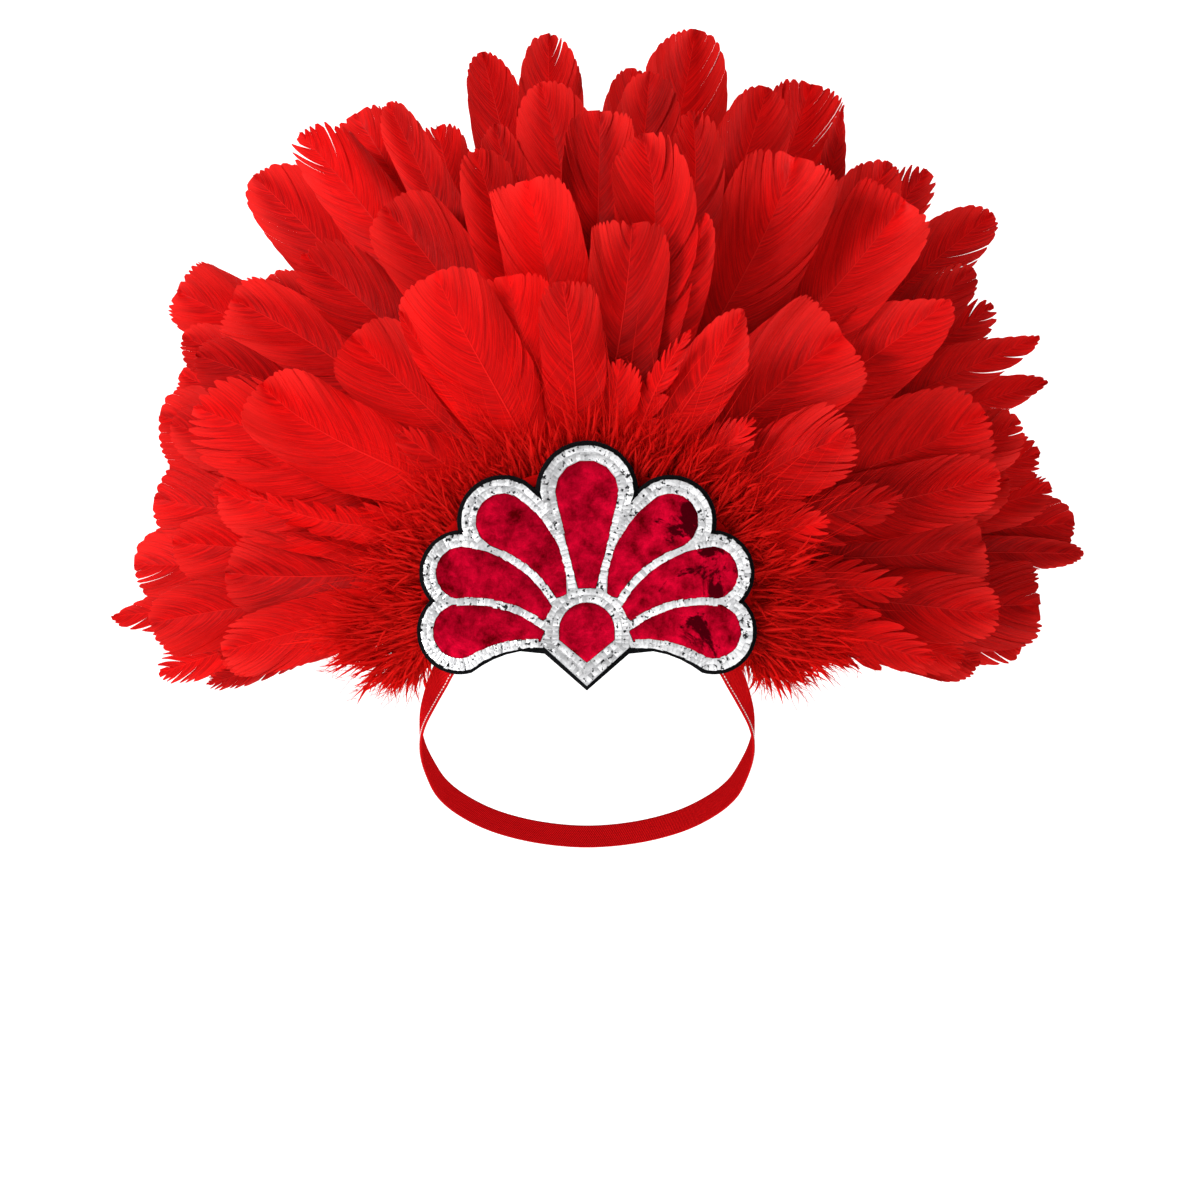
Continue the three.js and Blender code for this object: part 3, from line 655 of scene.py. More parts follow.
# ruff of small plumes: each has a curved shaft from the band and soft barbs to both sides of it
def makeRuff():
    rng = np.random.default_rng(ruff["seed"])
    even = np.linspace(-1.0, 1.0, ruff["plumes"])
    fringeAngles = np.linspace(fringe["angle"], fringe["end"], fringe["plumes"])
    angle = np.concatenate([fringe["end"] * even, fringeAngles, -fringeAngles])
    count = len(angle)
    angle = angle + rng.normal(0.0, ruff["angleSpread"], count)
    root = archPoint(np.clip(angle, -layout["rootEnd"], layout["rootEnd"]), ruff["rootOut"])
    past = np.maximum(np.abs(angle) - fringe["start"], 0.0)
    heading = angle + np.sign(angle) * past * fringe["droop"]
    heading = np.radians(heading + rng.normal(0.0, ruff["headingSpread"], count))
    ahead = headingOf(heading)
    least, most = ruff["reach"]
    reach = least + (most - least) * np.minimum(np.abs(angle) / ruff["reachEnd"], 1.0) ** 2
    fringeReach = fringe["reach"] - fringe["shorterPerDegree"] * past
    reach = reach + (fringeReach - reach) * smoothStep(fringe["longFrom"], fringe["start"], np.abs(angle))
    inner = np.linalg.norm(root - fanCentre, axis=1)
    length = (reach + ruff["past"] - inner) * rng.uniform(*ruff["length"], count)

    # hem: no plume of the fringe hangs below a line that climbs outward
    fall = fringe["hemSlope"] * np.abs(np.sin(heading)) - np.cos(heading)
    room = root[:, 1] - fringe["hemZ"] - fringe["hemSlope"] * (np.abs(root[:, 0]) - fringe["hemX"])
    hem = room / np.maximum(fall, 1e-6) * rng.uniform(*fringe["hemSpread"], count)
    length = np.where(fall > 0.05, np.minimum(length, hem), length)
    bend = rng.normal(0.0, ruff["bendSpread"], count)
    depth = rng.uniform(*ruff["y"], count)
    lift = rng.normal(0.0, ruff["liftSpread"], count)

    # shaft: straight out, bending to one side with the square of the way
    def shaftPoint(s):
        shape = (count,) + (1,) * (s.ndim - 1)
        along = length.reshape(shape) * s
        over = length.reshape(shape) * bend.reshape(shape) * s * s
        place = root.reshape(shape + (2,)) + along[..., None] * ahead.reshape(shape + (2,))
        place = place + over[..., None] * rightOf(ahead).reshape(shape + (2,))
        y = layerDepth(0.0, ruff["lean"], place[..., 0], place[..., 1]) + depth.reshape(shape)
        y = y + lift.reshape(shape) * along * s
        return np.stack([place[..., 0], y, place[..., 1]], -1)

    rings = ruff["shaftRings"]
    s = np.broadcast_to(np.linspace(0.0, 1.0, rings), (count, rings))
    shafts = tubes(shaftPoint(s), ruff["shaft"] * (1.0 - 0.8 * s), ruff["sides"])

    # barb: leaves the shaft at an angle and curls back out towards its tip
    barbs, rings = ruff["barbs"], ruff["rings"]
    many = (count, barbs)
    place = np.linspace(*ruff["barbPlaces"], barbs) + rng.normal(0.0, ruff["barbPlaceSpread"], many)
    start = shaftPoint(place)
    run = unit(shaftPoint(np.minimum(place + 0.02, 1.0)) - shaftPoint(place - 0.02))
    aside = np.cross(run, towardsViewer)
    hand = np.where(np.arange(barbs) % 2, 1.0, -1.0)[None, :]
    spread = np.radians(rng.uniform(*ruff["barbSpread"], many))
    size = rng.uniform(*ruff["barbLength"], many) * (1.05 - 0.5 * place)
    curl = (rng.normal(0.0, ruff["barbCurl"], many) * size)[..., None, None]
    raised = rng.normal(*ruff["barbRaise"], many) * size
    r = np.linspace(0.0, 1.0, rings)
    forward = (np.cos(spread) * size)[..., None, None] * run[:, :, None]
    outward = (np.sin(spread) * size * hand)[..., None, None] * aside[:, :, None]
    back = (run - hand[..., None] * aside)[:, :, None]
    paths = start[:, :, None] + r[:, None] * (forward + outward) + (r * r)[:, None] * curl * back
    paths[..., 1] += raised[..., None] * r * r
    paths = paths.reshape(-1, rings, 3)
    thin = np.broadcast_to(ruff["barb"] * (1.0 - 0.75 * r), (len(paths), rings))
    barbSkins = tubes(paths, thin, ruff["sides"])

    # lock: flat strands side by side with the shaft that fill the ruff and end in fine hairs
    each, body = locks["count"], np.array(locks["body"])
    many = (count, each)
    fromRoot = np.arange(each) < locks["fromRoot"]
    began = rng.uniform(0.0, locks["start"], many) * np.where(fromRoot, locks["rootStart"], 1.0)
    ended = began + rng.uniform(*locks["length"], many)
    ended = np.minimum(ended, rng.uniform(*locks["end"], many))
    r = np.linspace(0.0, 1.0, len(body))
    paths = shaftPoint(began[..., None] + (ended - began)[..., None] * r)
    aside = np.cross(unit(np.gradient(paths, axis=2)), towardsViewer)
    many = (count, each, 1)
    off = rng.normal(0.0, locks["aside"], many) + rng.normal(0.0, locks["tipAside"], many) * r**1.6
    paths = paths + off[..., None] * aside
    paths[..., 1] += rng.normal(0.0, locks["depth"], many) + rng.normal(*locks["tipDepth"], many) * r * r
    lockRadius = rng.uniform(*locks["width"], (count * each, 1)) * body
    lockSkins = tubes(paths.reshape(-1, len(body), 3), lockRadius, ruff["sides"], locks["flat"])

    shade = rng.normal(*ruff["tone"], count)
    lockShade = np.repeat(shade, each) + rng.normal(*locks["tone"], count * each)
    strip = archBar(**ruffStrip)
    strip["attributes"] = {"tone": np.zeros(len(strip["verts"]))}
    parts = [plainPart(*shafts, tone=shade), plainPart(*barbSkins, tone=np.repeat(shade, barbs)),
             plainPart(*lockSkins, tone=lockShade), strip, makeWisps()]
    return addMesh("down_strands", **joinParts(parts))


downLook = {
    "deep": (0.74, 0.002, 0.002), "mid": (0.93, 0.007, 0.005), "bright": (0.98, 0.022, 0.016),
    "roughness": 0.7, "specular": 0.06, "through": 0.6,
}


def makeDownMaterial():
    look = downLook
    material, tree, shader = newMaterial("dyedDown")
    tone = node(tree, "Attribute", attribute_name="tone")
    colour = ramp(tree, [(0.0, look["deep"]), (1.0, look["bright"]), (0.5, look["mid"])])
    wire(tree, (tone, "Fac", colour, "Fac"), (colour, "Color", shader, "Base Color"))
    setSurface(shader, look["roughness"], look["specular"])
    letLightThrough(tree, shader, colour, "Color", look["through"])
    return material


finishPiece(makeRuff(), makeDownMaterial(), "red_down", "down_ruff")
print("down ruff made")

# Front ornament

ornament = {
    "centreZ": -62.7, "trimFront": -29.8, "foilFront": -29.4, "foilThickness": 0.8, "pillow": 0.22,
    "footBorder": 2.2, "rim": 2.0, "rimMiddle": -28.45, "rimThickness": 0.24,
    "shieldRadius": 11.9, "shieldTip": 13.9, "shieldShoulder": 4.0, "shieldBorder": 6.6,
    "shieldTipBorder": 10.3,
}

# each petal: head, its radius and border, foot and its half width, bow of the middle line and swell
# of the half width between foot and head; mirrored for the left
petals = {
    "top": {"head": (0.0, 60.1), "radius": 13.6, "border": 6.8, "foot": (0.0, 18.4), "footHalf": 3.7,
            "bow": 0.0, "swell": 0.5},
    "upper": {"head": (36.4, 47.5), "radius": 11.9, "border": 6.2, "foot": (11.1, 14.8), "footHalf": 2.2,
              "bow": 4.6, "swell": 1.2},
    "mid": {"head": (54.3, 25.0), "radius": 11.5, "border": 5.2, "foot": (16.7, 6.4), "footHalf": 3.2,
            "bow": 4.5, "swell": 0.8},
    "lower": {"head": (55.3, -0.5), "radius": 11.9, "border": 4.8, "foot": (19.4, -2.6), "footHalf": 2.3,
              "bow": 3.2, "swell": 0.6},
}
petalOrder = [("lower", -1), ("mid", -1), ("upper", -1), ("top", 1), ("upper", 1), ("mid", 1), ("lower", 1)]


# middle line of a petal: a parabola from foot to head, with its tangent and half width
def petalLine(name, side, t):
    petal = petals[name]
    t = np.asarray(t)[..., None]
    flip = np.array([side, 1.0])
    foot, head = np.array(petal["foot"]) * flip, np.array(petal["head"]) * flip
    bend = (foot + head) / 2 - side * 2 * petal["bow"] * rightOf(unit(head - foot))
    place = (1 - t) ** 2 * foot + 2 * t * (1 - t) * bend + t * t * head
    run = unit((1 - t) * (bend - foot) + t * (head - bend))
    t = t[..., 0]
    half = petal["footHalf"] + (petal["radius"] - petal["footHalf"]) * t + petal["swell"] * 4 * t * (1 - t)
    return place, run, half


# width of the silver border beside a petal: it grows from the foot to the head
def borderAt(name, t):
    return ornament["footBorder"] + (petals[name]["border"] - ornament["footBorder"]) * np.asarray(t)


# side of a petal at a share of its border outward: -1 is the left side looking along it, 1 the right
def petalSide(name, side, hand, t, share):
    place, run, half = petalLine(name, side, t)
    return place + hand * (half + share * borderAt(name, t))[..., None] * rightOf(run)


# whole edge of a petal from its right foot round the head to its left foot
def petalEdge(name, side, share, steps=60):
    t = np.linspace(0.0, 1.0, steps)
    head, run, half = petalLine(name, side, np.array(1.0))
    begin = math.atan2(-run[0], run[1])
    turn = begin + np.linspace(0.0, np.pi, steps)[1:-1]
    radius = half + share * petals[name]["border"]
    cap = head + radius * np.stack([np.cos(turn), np.sin(turn)], -1)
    right, left = petalSide(name, side, 1.0, t, share), petalSide(name, side, -1.0, t[::-1], share)
    return np.concatenate([right, cap, left])


# distance from points to the nearest foil field but one, by the round pen strokes that draw the petals
def nearestOther(points, skip, steps=60):
    best = np.full(len(points), np.inf)
    for key in petalOrder:
        if key != skip:
            place, _, half = petalLine(*key, np.linspace(0.0, 1.0, steps))
            away = np.linalg.norm(points[:, None] - place, axis=2) - half
            best = np.minimum(best, away.min(axis=1))
    return best


# flat drawing of the ornament laid on the bent plate at a depth
def onPlate(flat, depth):
    x = flat[..., 0]
    return np.stack([x, depth + bendBack(x), flat[..., 1] + ornament["centreZ"]], -1)


# foil field on the grid of a petal or the shield, slightly pillowed
def makeFoilField(name, flat, material):
    columns = np.linspace(-1.0, 1.0, flat.shape[1])
    rows = np.linspace(0.0, 1.0, flat.shape[0])[:, None]
    points = onPlate(flat, ornament["foilFront"] + ornament["foilThickness"] / 2)
    points[..., 1] -= ornament["pillow"] * (1.0 - columns**4) * (1.0 - (2 * rows - 1.0) ** 6)
    verts, quads = thickPlates(points[None], ornament["foilThickness"])
    finishPiece(addMesh(name + "_foil", verts, quads, sharpAngle=40.0), material, "crimson_foil", name)


# grids over the fields have these columns and stop just short of the pole of their cap
fieldColumns = np.linspace(-1.0, 1.0, 25)
fieldEnd = 0.985


# grid over a petal: rows from foot to head and over the round cap, bare or with border and rim
def petalField(name, side, share=0.0, rim=0.0):
    t = np.linspace(0.0, 1.0, 34)
    place, run, half = petalLine(name, side, t)
    half = half + share * borderAt(name, t) + rim
    over = np.sin(np.linspace(0.0, fieldEnd, 14)[1:] * np.pi / 2)
    radius = half[-1]
    place = np.concatenate([place, place[-1] + over[:, None] * radius * run[-1]])
    half = np.concatenate([half, radius * np.sqrt(1.0 - over**2)])
    run = np.concatenate([run, np.repeat(run[-1:], len(over), 0)])
    return place[:, None] + fieldColumns[:, None] * half[:, None, None] * rightOf(run)[:, None]


# grid over the shield: rows from the point up to the shoulders and over the half circle
def shieldField(share=0.0, rim=0.0):
    grow = share * ornament["shieldBorder"] + rim
    radius, shoulder = ornament["shieldRadius"] + grow, ornament["shieldShoulder"] + grow / 2
    tip = ornament["shieldTip"] + share * ornament["shieldTipBorder"] + rim
    low = np.linspace(0.02, 1.0, 14)
    turn = np.linspace(0.0, fieldEnd, 20)[1:] * np.pi / 2
    z = np.concatenate([-tip + (tip - shoulder) * low, [0.0], radius * np.sin(turn)])
    half = np.concatenate([radius * low, [radius], radius * np.cos(turn)])
    return np.stack(np.broadcast_arrays(half[:, None] * fieldColumns, z[:, None]), -1)


# crimson mirror foil: painted cloudy reflections, light and dark, in its colour, small crumples in its bump,
# and painted black reflections in patches that gather towards the right
def makeFoilMaterial():
    material, tree, shader = newMaterial("crimsonFoil")
    place = node(tree, "TexCoord")
    cloud = node(tree, "TexNoise", Scale=110.0, Detail=8.0, Roughness=0.72, Distortion=0.15)
    patch = node(tree, "TexNoise", Scale=56.0, Detail=9.0, Roughness=0.66, Distortion=0.7)
    split = node(tree, "SeparateXYZ")
    rightward = mapRange(tree, 0.0, 0.05, -0.18, 0.06)
    darker = node(tree, "Math", operation="ADD")
    # mask of the painted black reflections: patches of the second noise, more of them towards the right
    dark = mapRange(tree, 0.55, 0.61, interpolation_type="SMOOTHSTEP")
    # painted cloudy reflections: dark to bright crimson by the cloud noise
    colour = ramp(tree, [(0.34, (0.11, 0.0, 0.002)), (0.70, (0.82, 0.002, 0.034)), (0.5, (0.31, 0.0, 0.009))])
    paintedReflections = node(tree, "Mix", data_type="RGBA", B=(0.060, 0.0, 0.003, 1.0))
    wire(tree, (place, "Object", cloud, "Vector"), (place, "Object", patch, "Vector"),
         (place, "Object", split, 0), (split, "X", rightward, "Value"), (patch, "Fac", darker, 0),
         (rightward, 0, darker, 1), (darker, 0, dark, "Value"), (cloud, "Fac", colour, "Fac"),
         (dark, 0, paintedReflections, "Factor"), (colour, "Color", paintedReflections, "A"))
    setColourAndBump(tree, shader, paintedReflections, "Result", cloud, "Fac", 0.35, 0.0010)
    setSurface(shader, 0.30, metallic=1.0)
    return material


foilMaterial = makeFoilMaterial()
handNames = {-1: "left", 1: "right"}
for petalName, side in petalOrder:
    target = "inset_top" if petalName == "top" else "inset_" + petalName + "_" + handNames[side]
    makeFoilField(target, petalField(petalName, side), foilMaterial)
makeFoilField("inset_centre", shieldField(), foilMaterial)
print("foil fields made")


# felt rim: smooth black leaves between the board and the tape, one for each petal and the shield
def makeRims(material):
    grids = (np.stack([petalField(*key, 1.0, ornament["rim"]) for key in petalOrder]),
             shieldField(1.0, ornament["rim"])[None])
    parts = [plainPart(*thickPlates(onPlate(grid, ornament["rimMiddle"]), ornament["rimThickness"]))
             for grid in grids]
    finishPiece(addMesh("felt_rims", **joinParts(parts)), material, "black_board")


# rows of sequins at shares of the border, each with the least distance that it keeps from other fields
tape = {
    "seed": 83, "pitch": 1.75, "length": 1.95, "width": 2.7, "dividerWidth": 3.3, "thickness": 0.22,
    "stand": 0.24, "dome": 0.16, "steps": 4, "tone": (0.70, 0.17), "shift": 0.10, "turn": 0.07,
    "size": (0.9, 1.04), "tip": (0.10, 0.05), "roll": 0.05,
    "rows": ((0.25, 3.4), (0.78, 4.7)), "shieldRows": (0.27, 0.75), "ringGap": 3.0, "dividerGap": 0.8,
    "dividerMost": 7.0,
}


# evenly spaced places and tangents along a drawn line
def walkLine(points, pitch):
    step = np.linalg.norm(np.diff(points, axis=0), axis=1)
    way = np.concatenate([[0.0], np.cumsum(step)])
    count = max(int(way[-1] / pitch), 1)
    at = (np.arange(count) + 0.5) * way[-1] / count
    place = np.stack([np.interp(at, way, points[:, k]) for k in range(2)], -1)
    ahead = np.stack([np.interp(at + 0.3, way, points[:, k]) - np.interp(at - 0.3, way, points[:, k])
                      for k in range(2)], -1)
    return place, unit(ahead)


# unbroken stretches of a line where a test holds
def stretches(points, keep):
    edges = np.flatnonzero(np.diff(np.concatenate([[0], keep.astype(int), [0]])))
    return [points[a:b] for a, b in zip(edges[::2], edges[1::2]) if b - a > 3]


# middle lines of all rows of sequins, with their widths: borders, dividers, ring of the shield
def sequinLines():
    lines = []
    clearOfRing = ornament["shieldRadius"] + ornament["shieldBorder"]
    for key in petalOrder:
        for share, least in tape["rows"]:
            edge = petalEdge(*key, share)
            inFront = np.linalg.norm(edge, axis=1) > clearOfRing + tape["ringGap"]
            inFront &= nearestOther(edge, key) > least
            lines += [(part, tape["width"]) for part in stretches(edge, inFront)]
    for first, second in zip(petalOrder[:-1], petalOrder[1:]):
        t = np.linspace(0.0, 1.0, 80)
        one, two = petalSide(*first, 1.0, t, 0.0), petalSide(*second, -1.0, t, 0.0)
        middle = (one + two) / 2
        apart = np.linalg.norm(one - two, axis=1)
        inFront = np.linalg.norm(middle, axis=1) > clearOfRing + tape["dividerGap"]
        inFront &= apart < tape["dividerMost"]
        lines += [(part, tape["dividerWidth"]) for part in stretches(middle, inFront)]
    for share in tape["shieldRows"]:
        grow, tipGrow = share * ornament["shieldBorder"], share * ornament["shieldTipBorder"]
        radius = ornament["shieldRadius"] + grow
        turn = np.linspace(0.0, np.pi, 80)
        lines.append((radius * np.stack([np.cos(turn), np.sin(turn)], -1), tape["width"]))
        for side in (-1.0, 1.0):
            ends = np.array([[side * radius, 0.0], [side * radius, -ornament["shieldShoulder"] - grow / 2],
                             [0.0, -ornament["shieldTip"] - tipGrow]])
            lines.append((ends, tape["width"]))
    return lines


# sequins: small domed plates laid like shingles along their rows, each tipped a little its own way
def makeSequins(material):
    rng = np.random.default_rng(tape["seed"])
    walks = [(*walkLine(points, tape["pitch"]), width) for points, width in sequinLines()]
    place, ahead = (np.concatenate([walk[k] for walk in walks]) for k in range(2))
    width = np.concatenate([np.full(len(walk[0]), walk[2]) for walk in walks])[:, None, None]
    count = len(place)
    place = place + rng.normal(0.0, tape["shift"], place.shape)
    turn = rng.normal(0.0, tape["turn"], count)
    cos, sin = np.cos(turn)[:, None], np.sin(turn)[:, None]
    ahead = cos * ahead - sin * rightOf(ahead)
    steps = np.linspace(-1.0, 1.0, tape["steps"])
    a, b = np.meshgrid(steps, steps, indexing="ij")
    each = (count, 1, 1)
    size = rng.uniform(*tape["size"], each)
    u = (a * tape["length"] / 2 * size)[..., None] * ahead[:, None, None]
    v = (b * (width / 2) * size)[..., None] * rightOf(ahead)[:, None, None]
    flat = place[:, None, None] + u + v
    tip, roll = rng.normal(*tape["tip"], each), rng.normal(0.0, tape["roll"], each)
    height = tape["stand"] + tape["dome"] * (1.0 - 0.6 * a * a - 0.6 * b * b) + tip * a + roll * b
    points = onPlate(flat, ornament["trimFront"])
    points[..., 1] -= height
    verts, quads = thickPlates(points, tape["thickness"])
    tone = np.clip(rng.normal(*tape["tone"], count), 0.0, 1.0)
    tone = np.repeat(tone, len(verts) // count)
    piece = addMesh("sequin_rows", verts, quads, attributes={"tone": tone}, sharpAngle=55.0)
    finishPiece(piece, material, "silver_tape")


# silver: bright metal with a fine crackle and a few black specks, toned by sequin or by the crackle
def makeSilverMaterial(name, byTone):
    material, tree, shader = newMaterial(name)
    place = node(tree, "TexCoord")
    crackle = node(tree, "TexNoise", Scale=620.0, Detail=3.0, Roughness=0.6)
    speck = node(tree, "TexNoise", Scale=560.0, Detail=2.0, Roughness=0.5)
    specked = mapRange(tree, 0.61, 0.66)
    tone = node(tree, "Attribute", attribute_name="tone") if byTone else crackle
    colour = ramp(tree, [(0.0, (0.26, 0.26, 0.27)), (1.0, (0.90, 0.90, 0.91))])
    dark = node(tree, "Mix", data_type="RGBA", B=(0.02, 0.02, 0.022, 1.0))
    wire(tree, (place, "Object", crackle, "Vector"), (place, "Object", speck, "Vector"),
         (tone, "Fac", colour, "Fac"), (speck, "Fac", specked, "Value"), (specked, 0, dark, "Factor"),
         (colour, "Color", dark, "A"))
    setColourAndBump(tree, shader, dark, "Result", crackle, "Fac", 0.35, 0.0005)
    setSurface(shader, 0.32, metallic=0.9)
    return material


makeSequins(makeSilverMaterial("silverSequin", True))


# material on a solid of the frame that is shown as it is
def dress(name, material):
    data = nodes[name].data
    data.materials.clear()
    data.materials.append(material)


def makeFeltMaterial(name, low, high, scale):
    material, tree, shader = newMaterial(name)
    grain = useGroup(tree, grainGroup, Scale=scale)
    colour = ramp(tree, [(0.3, low), (0.7, high)])
    wire(tree, (grain, "Grain", colour, "Fac"))
    setColourAndBump(tree, shader, colour, "Color", grain, "Grain", 0.4, 0.0006)
    setSurface(shader, 0.9, 0.04)
    return material


dress("plate_trim", makeSilverMaterial("silverBase", False))
feltMaterial = makeFeltMaterial("blackFelt", (0.0015, 0.0015, 0.002), (0.006, 0.006, 0.007), 1500.0)
dress("plate_backing", feltMaterial)
makeRims(feltMaterial)
print("ornament made")

# Head band

band = archBar(0.0, layout["depth"], layout["wall"] / 2, layout["wall"], rings=160, sides=40)
redFelt = makeFeltMaterial("redFelt", (0.10, 0.002, 0.003), (0.20, 0.006, 0.008), 1100.0)
finishPiece(addMesh("band_felt_arch", **band, sharpAngle=40.0), redFelt, "band_felt", "head_band")
print("head band made")

# Elastic strap

strap = {
    "width": 10.0, "thickness": 1.2, "ribs": 8, "ribDepth": 0.16, "edgeDrop": 0.18, "rings": 330,
    "faceSteps": 33, "twistOver": 0.16, "axisY": 50.0, "uvPerMm": 0.1,
    "stitchPitch": 2.2, "stitchAt": -3.9, "stitchRadius": 0.24, "stitchArch": 0.16, "stitchSteps": 4,
    "points": [(58.4, -18.6, -66.0), (59.6, -17.4, -74.0), (63.5, -9.0, -82.0), (68.0, 6.0, -91.0),
               (72.4, 30.0, -102.3), (73.2, 58.0, -113.0), (70.0, 88.0, -124.3), (64.5, 108.0, -134.0),
               (55.0, 126.0, -142.0), (41.0, 140.0, -149.0), (22.0, 149.0, -154.0), (0.0, 152.0, -156.0)],
}


# curve through points with tangents weighed by the root of their distances, walked evenly
def throughPoints(points, count):
    ends = np.concatenate([[2 * points[0] - points[1]], points, [2 * points[-1] - points[-2]]])
    gap = np.linalg.norm(np.diff(ends, axis=0), axis=1)[:, None] ** 0.5
    p0, p1, p2, p3 = ends[:-3], ends[1:-2], ends[2:-1], ends[3:]
    d0, d1, d2 = gap[:-2], gap[1:-1], gap[2:]
    m1 = ((p1 - p0) / d0 - (p2 - p0) / (d0 + d1) + (p2 - p1) / d1) * d1
    m2 = ((p2 - p1) / d1 - (p3 - p1) / (d1 + d2) + (p3 - p2) / d2) * d1
    t = np.linspace(0.0, 1.0, 60, endpoint=False)[None, :, None]
    p1, p2, m1, m2 = (a[:, None] for a in (p1, p2, m1, m2))
    line = (2 * t**3 - 3 * t**2 + 1) * p1 + (t**3 - 2 * t**2 + t) * m1
    line = line + (3 * t**2 - 2 * t**3) * p2 + (t**3 - t**2) * m2
    line = np.concatenate([line.reshape(-1, 3), points[-1:]])
    way = np.concatenate([[0.0], np.cumsum(np.linalg.norm(np.diff(line, axis=0), axis=1))])
    at = np.linspace(0.0, way[-1], count)
    return np.stack([np.interp(at, way, line[:, k]) for k in range(3)], -1), way[-1]


# place, width direction and outward direction along the strap: flat on the plate, then facing outward
def strapFrames(count):
    right = np.array(strap["points"])
    left = right[:-1] * np.array([-1.0, 1.0, 1.0])
    place, length = throughPoints(np.concatenate([left, right[::-1]]), count)
    run = unit(np.gradient(place, axis=0))
    t = np.linspace(0.0, 1.0, count)
    turned = smoothStep(0.0, strap["twistOver"], np.minimum(t, 1.0 - t))[:, None]
    x = place[:, 0]
    slope = layout["bendSlope"] * x / layout["bendLength"] / np.hypot(1.0, x / layout["bendLength"])
    flat = unit(np.stack([slope, -np.ones(count), np.zeros(count)], -1))
    outward = unit(np.stack([x, place[:, 1] - strap["axisY"], np.zeros(count)], -1))
    across = unit(np.cross(run, flat + (outward - flat) * turned))
    return place, across, np.cross(across, run), length


# ribbed band: its section has lengthwise ribs on both faces, swept along the frames
def makeStrap(material):
    place, across, facing, length = strapFrames(strap["rings"])
    u = np.linspace(-1.0, 1.0, strap["faceSteps"])
    rib = strap["ribDepth"] * np.abs(np.sin(np.pi * strap["ribs"] * (u + 1.0) / 2.0))
    rise = strap["thickness"] / 2 - strap["ribDepth"] + rib - strap["edgeDrop"] * np.abs(u) ** 10
    section = np.concatenate([np.stack([u, rise], -1), np.stack([u[::-1], -rise[::-1]], -1)])
    shell = place[:, None] + (section[:, 0] * strap["width"] / 2)[None, :, None] * across[:, None]
    shell = shell + section[None, :, 1:] * facing[:, None]
    verts, quads, tris = lofts(shell[None])
    way = np.repeat(np.linspace(0.0, length * strap["uvPerMm"], strap["rings"]), len(section))
    uv = np.concatenate([np.stack([way, np.tile(section[:, 0] * 0.5, strap["rings"])], -1), np.zeros((2, 2))])
    piece = addMesh("elastic_ribbed", verts, quads, tris, uv=uv)
    finishPiece(piece, material, "red_elastic", "elastic_strap")


# stitches: short pale threads along one edge of the outer face
def makeStitches(material):
    steps = strap["stitchSteps"]
    count = int(strapFrames(60)[-1] / strap["stitchPitch"])
    place, across, facing, _ = strapFrames(count * steps + 1)
    at = np.arange(count) * steps
    middle = place + strap["stitchAt"] * across + (strap["thickness"] / 2 + 0.02) * facing
    paths = np.stack([middle[at], middle[at + 1] + strap["stitchArch"] * facing[at + 1], middle[at + 2]], 1)
    skins = tubes(paths, np.full((count, 3), strap["stitchRadius"]), 5)
    finishPiece(addMesh("elastic_stitches", *skins), material, "red_elastic")


# knitted elastic: red with small slanted marks across the ribs
def makeElasticMaterial():
    material, tree, shader = newMaterial("redElastic")
    uv = node(tree, "UVMap", uv_map="uv")
    wave = node(tree, "TexWave", Scale=4.2, Distortion=0.6, Detail=1.0)
    slanted = node(tree, "Mapping", Rotation=(0.0, 0.0, 0.6))
    colour = ramp(tree, [(0.15, (0.26, 0.0008, 0.002)), (0.85, (0.72, 0.008, 0.010))])
    wire(tree, (uv, "UV", slanted, "Vector"), (slanted, 0, wave, "Vector"), (wave, "Fac", colour, "Fac"))
    setColourAndBump(tree, shader, colour, "Color", wave, "Fac", 0.5, 0.0004)
    setSurface(shader, 0.55, 0.0)
    return material


def makeThreadMaterial():
    material, tree, shader = newMaterial("paleThread")
    grain = useGroup(tree, grainGroup, Scale=2600.0)
    colour = ramp(tree, [(0.3, (0.78, 0.56, 0.54)), (0.7, (0.96, 0.90, 0.89))])
    wire(tree, (grain, "Grain", colour, "Fac"), (colour, "Color", shader, "Base Color"))
    setSurface(shader, 0.3)
    return material


makeStrap(makeElasticMaterial())
makeStitches(makeThreadMaterial())
print("strap made")

# Camera: level, square to the front, the frame 528 mm wide where the feathers stand
camera = {"distance": 5.0, "frameWidth": 0.528, "planeY": 0.035, "x": 0.0057, "sensor": 36.0}
view = bpy.data.cameras.new("camera")
view.sensor_width = camera["sensor"]
view.lens = camera["sensor"] * camera["distance"] / camera["frameWidth"]
viewer = bpy.data.objects.new("camera", view)
viewer.location = (camera["x"], camera["planeY"] - camera["distance"], fanCentre[1] * mm)
viewer.rotation_euler = (math.pi / 2, 0.0, 0.0)
bpy.context.scene.collection.objects.link(viewer)
bpy.context.scene.camera = viewer

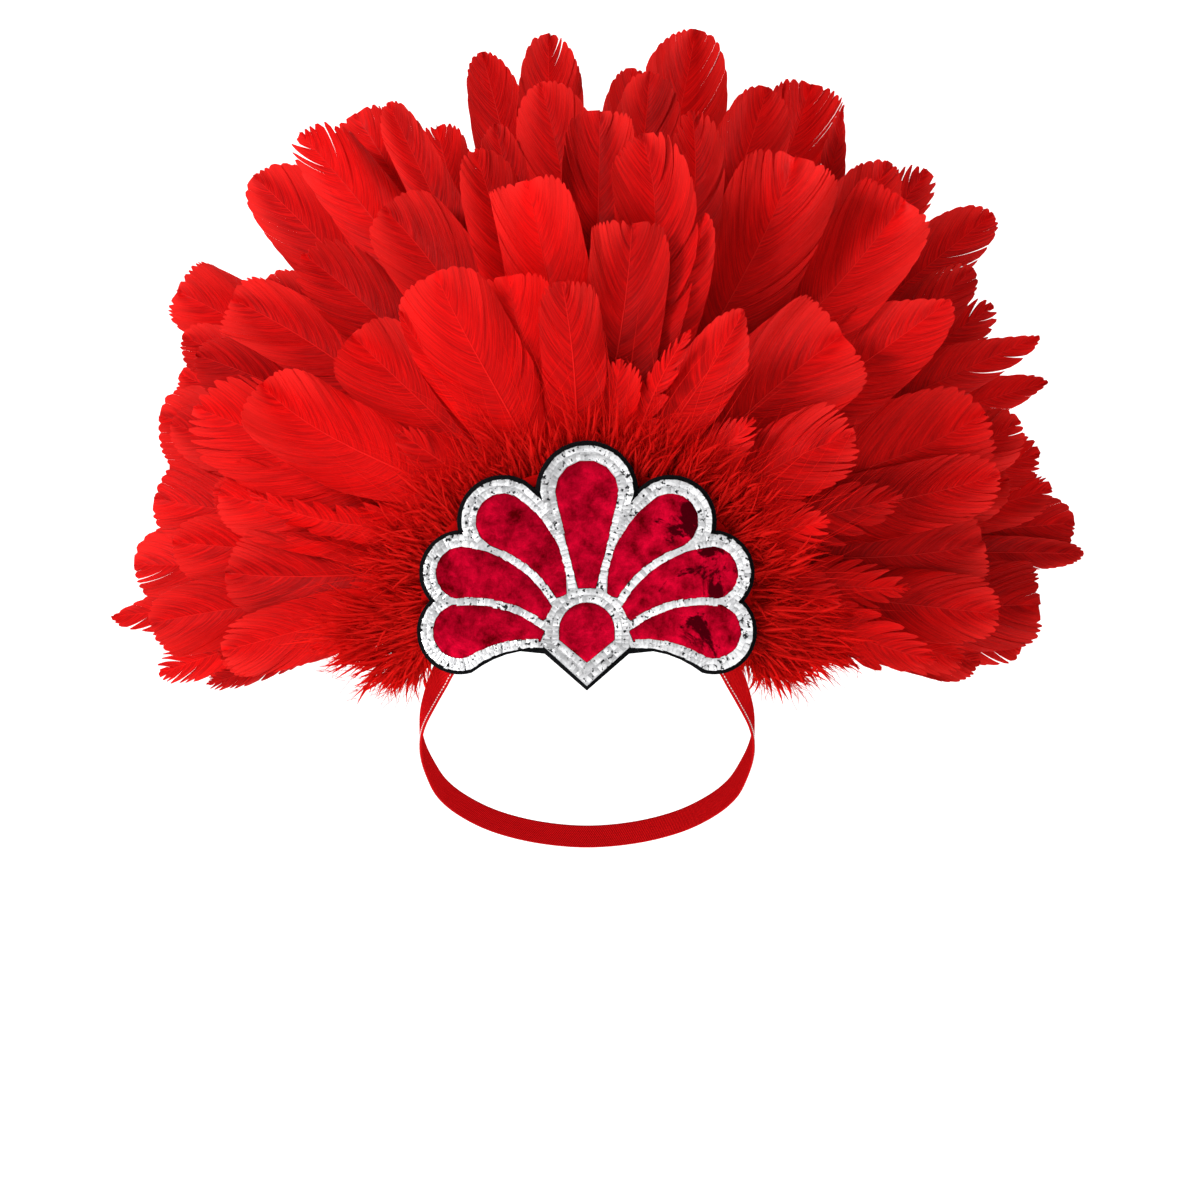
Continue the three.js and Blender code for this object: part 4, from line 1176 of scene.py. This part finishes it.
# Stage: pale floor that sweeps up into a backdrop, soft lights
stage = {
    "floorZ": -0.40, "front": -6.5, "bendStart": 5.6, "bendRadius": 1.4, "top": 7.0, "halfWidth": 9.0,
    "glow": 0.66, "world": 0.30,
}
lights = {
    "key": {"place": (-2.5, -2.0, 1.5), "size": 1.0, "power": 128.0},
    "fill": {"place": (1.2, -3.4, 0.2), "size": 1.8, "power": 9.0},
}


def makeSweep():
    turn = np.linspace(0.0, np.pi / 2, 24)
    y = np.concatenate([[stage["front"]], stage["bendStart"] + stage["bendRadius"] * np.sin(turn)])
    z = np.concatenate([[0.0], stage["bendRadius"] * (1.0 - np.cos(turn))]) + stage["floorZ"]
    y = np.append(y, y[-1])
    z = np.append(z, stage["top"])
    x = np.array([-1.0, 1.0]) * stage["halfWidth"]
    points = np.stack([np.broadcast_to(x, (len(y), 2)), np.stack([y, y], 1), np.stack([z, z], 1)], -1)
    sweep = addMesh("studio_sweep", points.reshape(-1, 3) / mm, gridQuads(len(y), 2))
    material, _, shader = newMaterial("paleSweep")
    setSurface(shader, 0.9)
    shader.inputs["Base Color"].default_value = (0.93, 0.93, 0.93, 1.0)
    shader.inputs["Emission Color"].default_value = (1.0, 1.0, 1.0, 1.0)
    shader.inputs["Emission Strength"].default_value = stage["glow"]
    sweep.data.materials.append(material)


# square lamp that faces the origin
def addLight(name, place, size, power):
    lamp = bpy.data.lights.new(name, "AREA")
    lamp.size = size
    lamp.energy = power
    holder = bpy.data.objects.new(name, lamp)
    holder.location = place
    away = unit(np.array(place))
    holder.rotation_euler = (math.acos(away[2]), 0.0, math.atan2(away[1], away[0]) + math.pi / 2)
    bpy.context.scene.collection.objects.link(holder)


makeSweep()
for name, light in lights.items():
    addLight(name, **light)
world = bpy.data.worlds.new("studio")
world.use_nodes = True
sky = world.node_tree.nodes["Background"]
sky.inputs["Color"].default_value = (1.0, 1.0, 1.0, 1.0)
sky.inputs["Strength"].default_value = stage["world"]
bpy.context.scene.world = world
bpy.context.scene.view_settings.view_transform = "Standard"
print("stage ready")
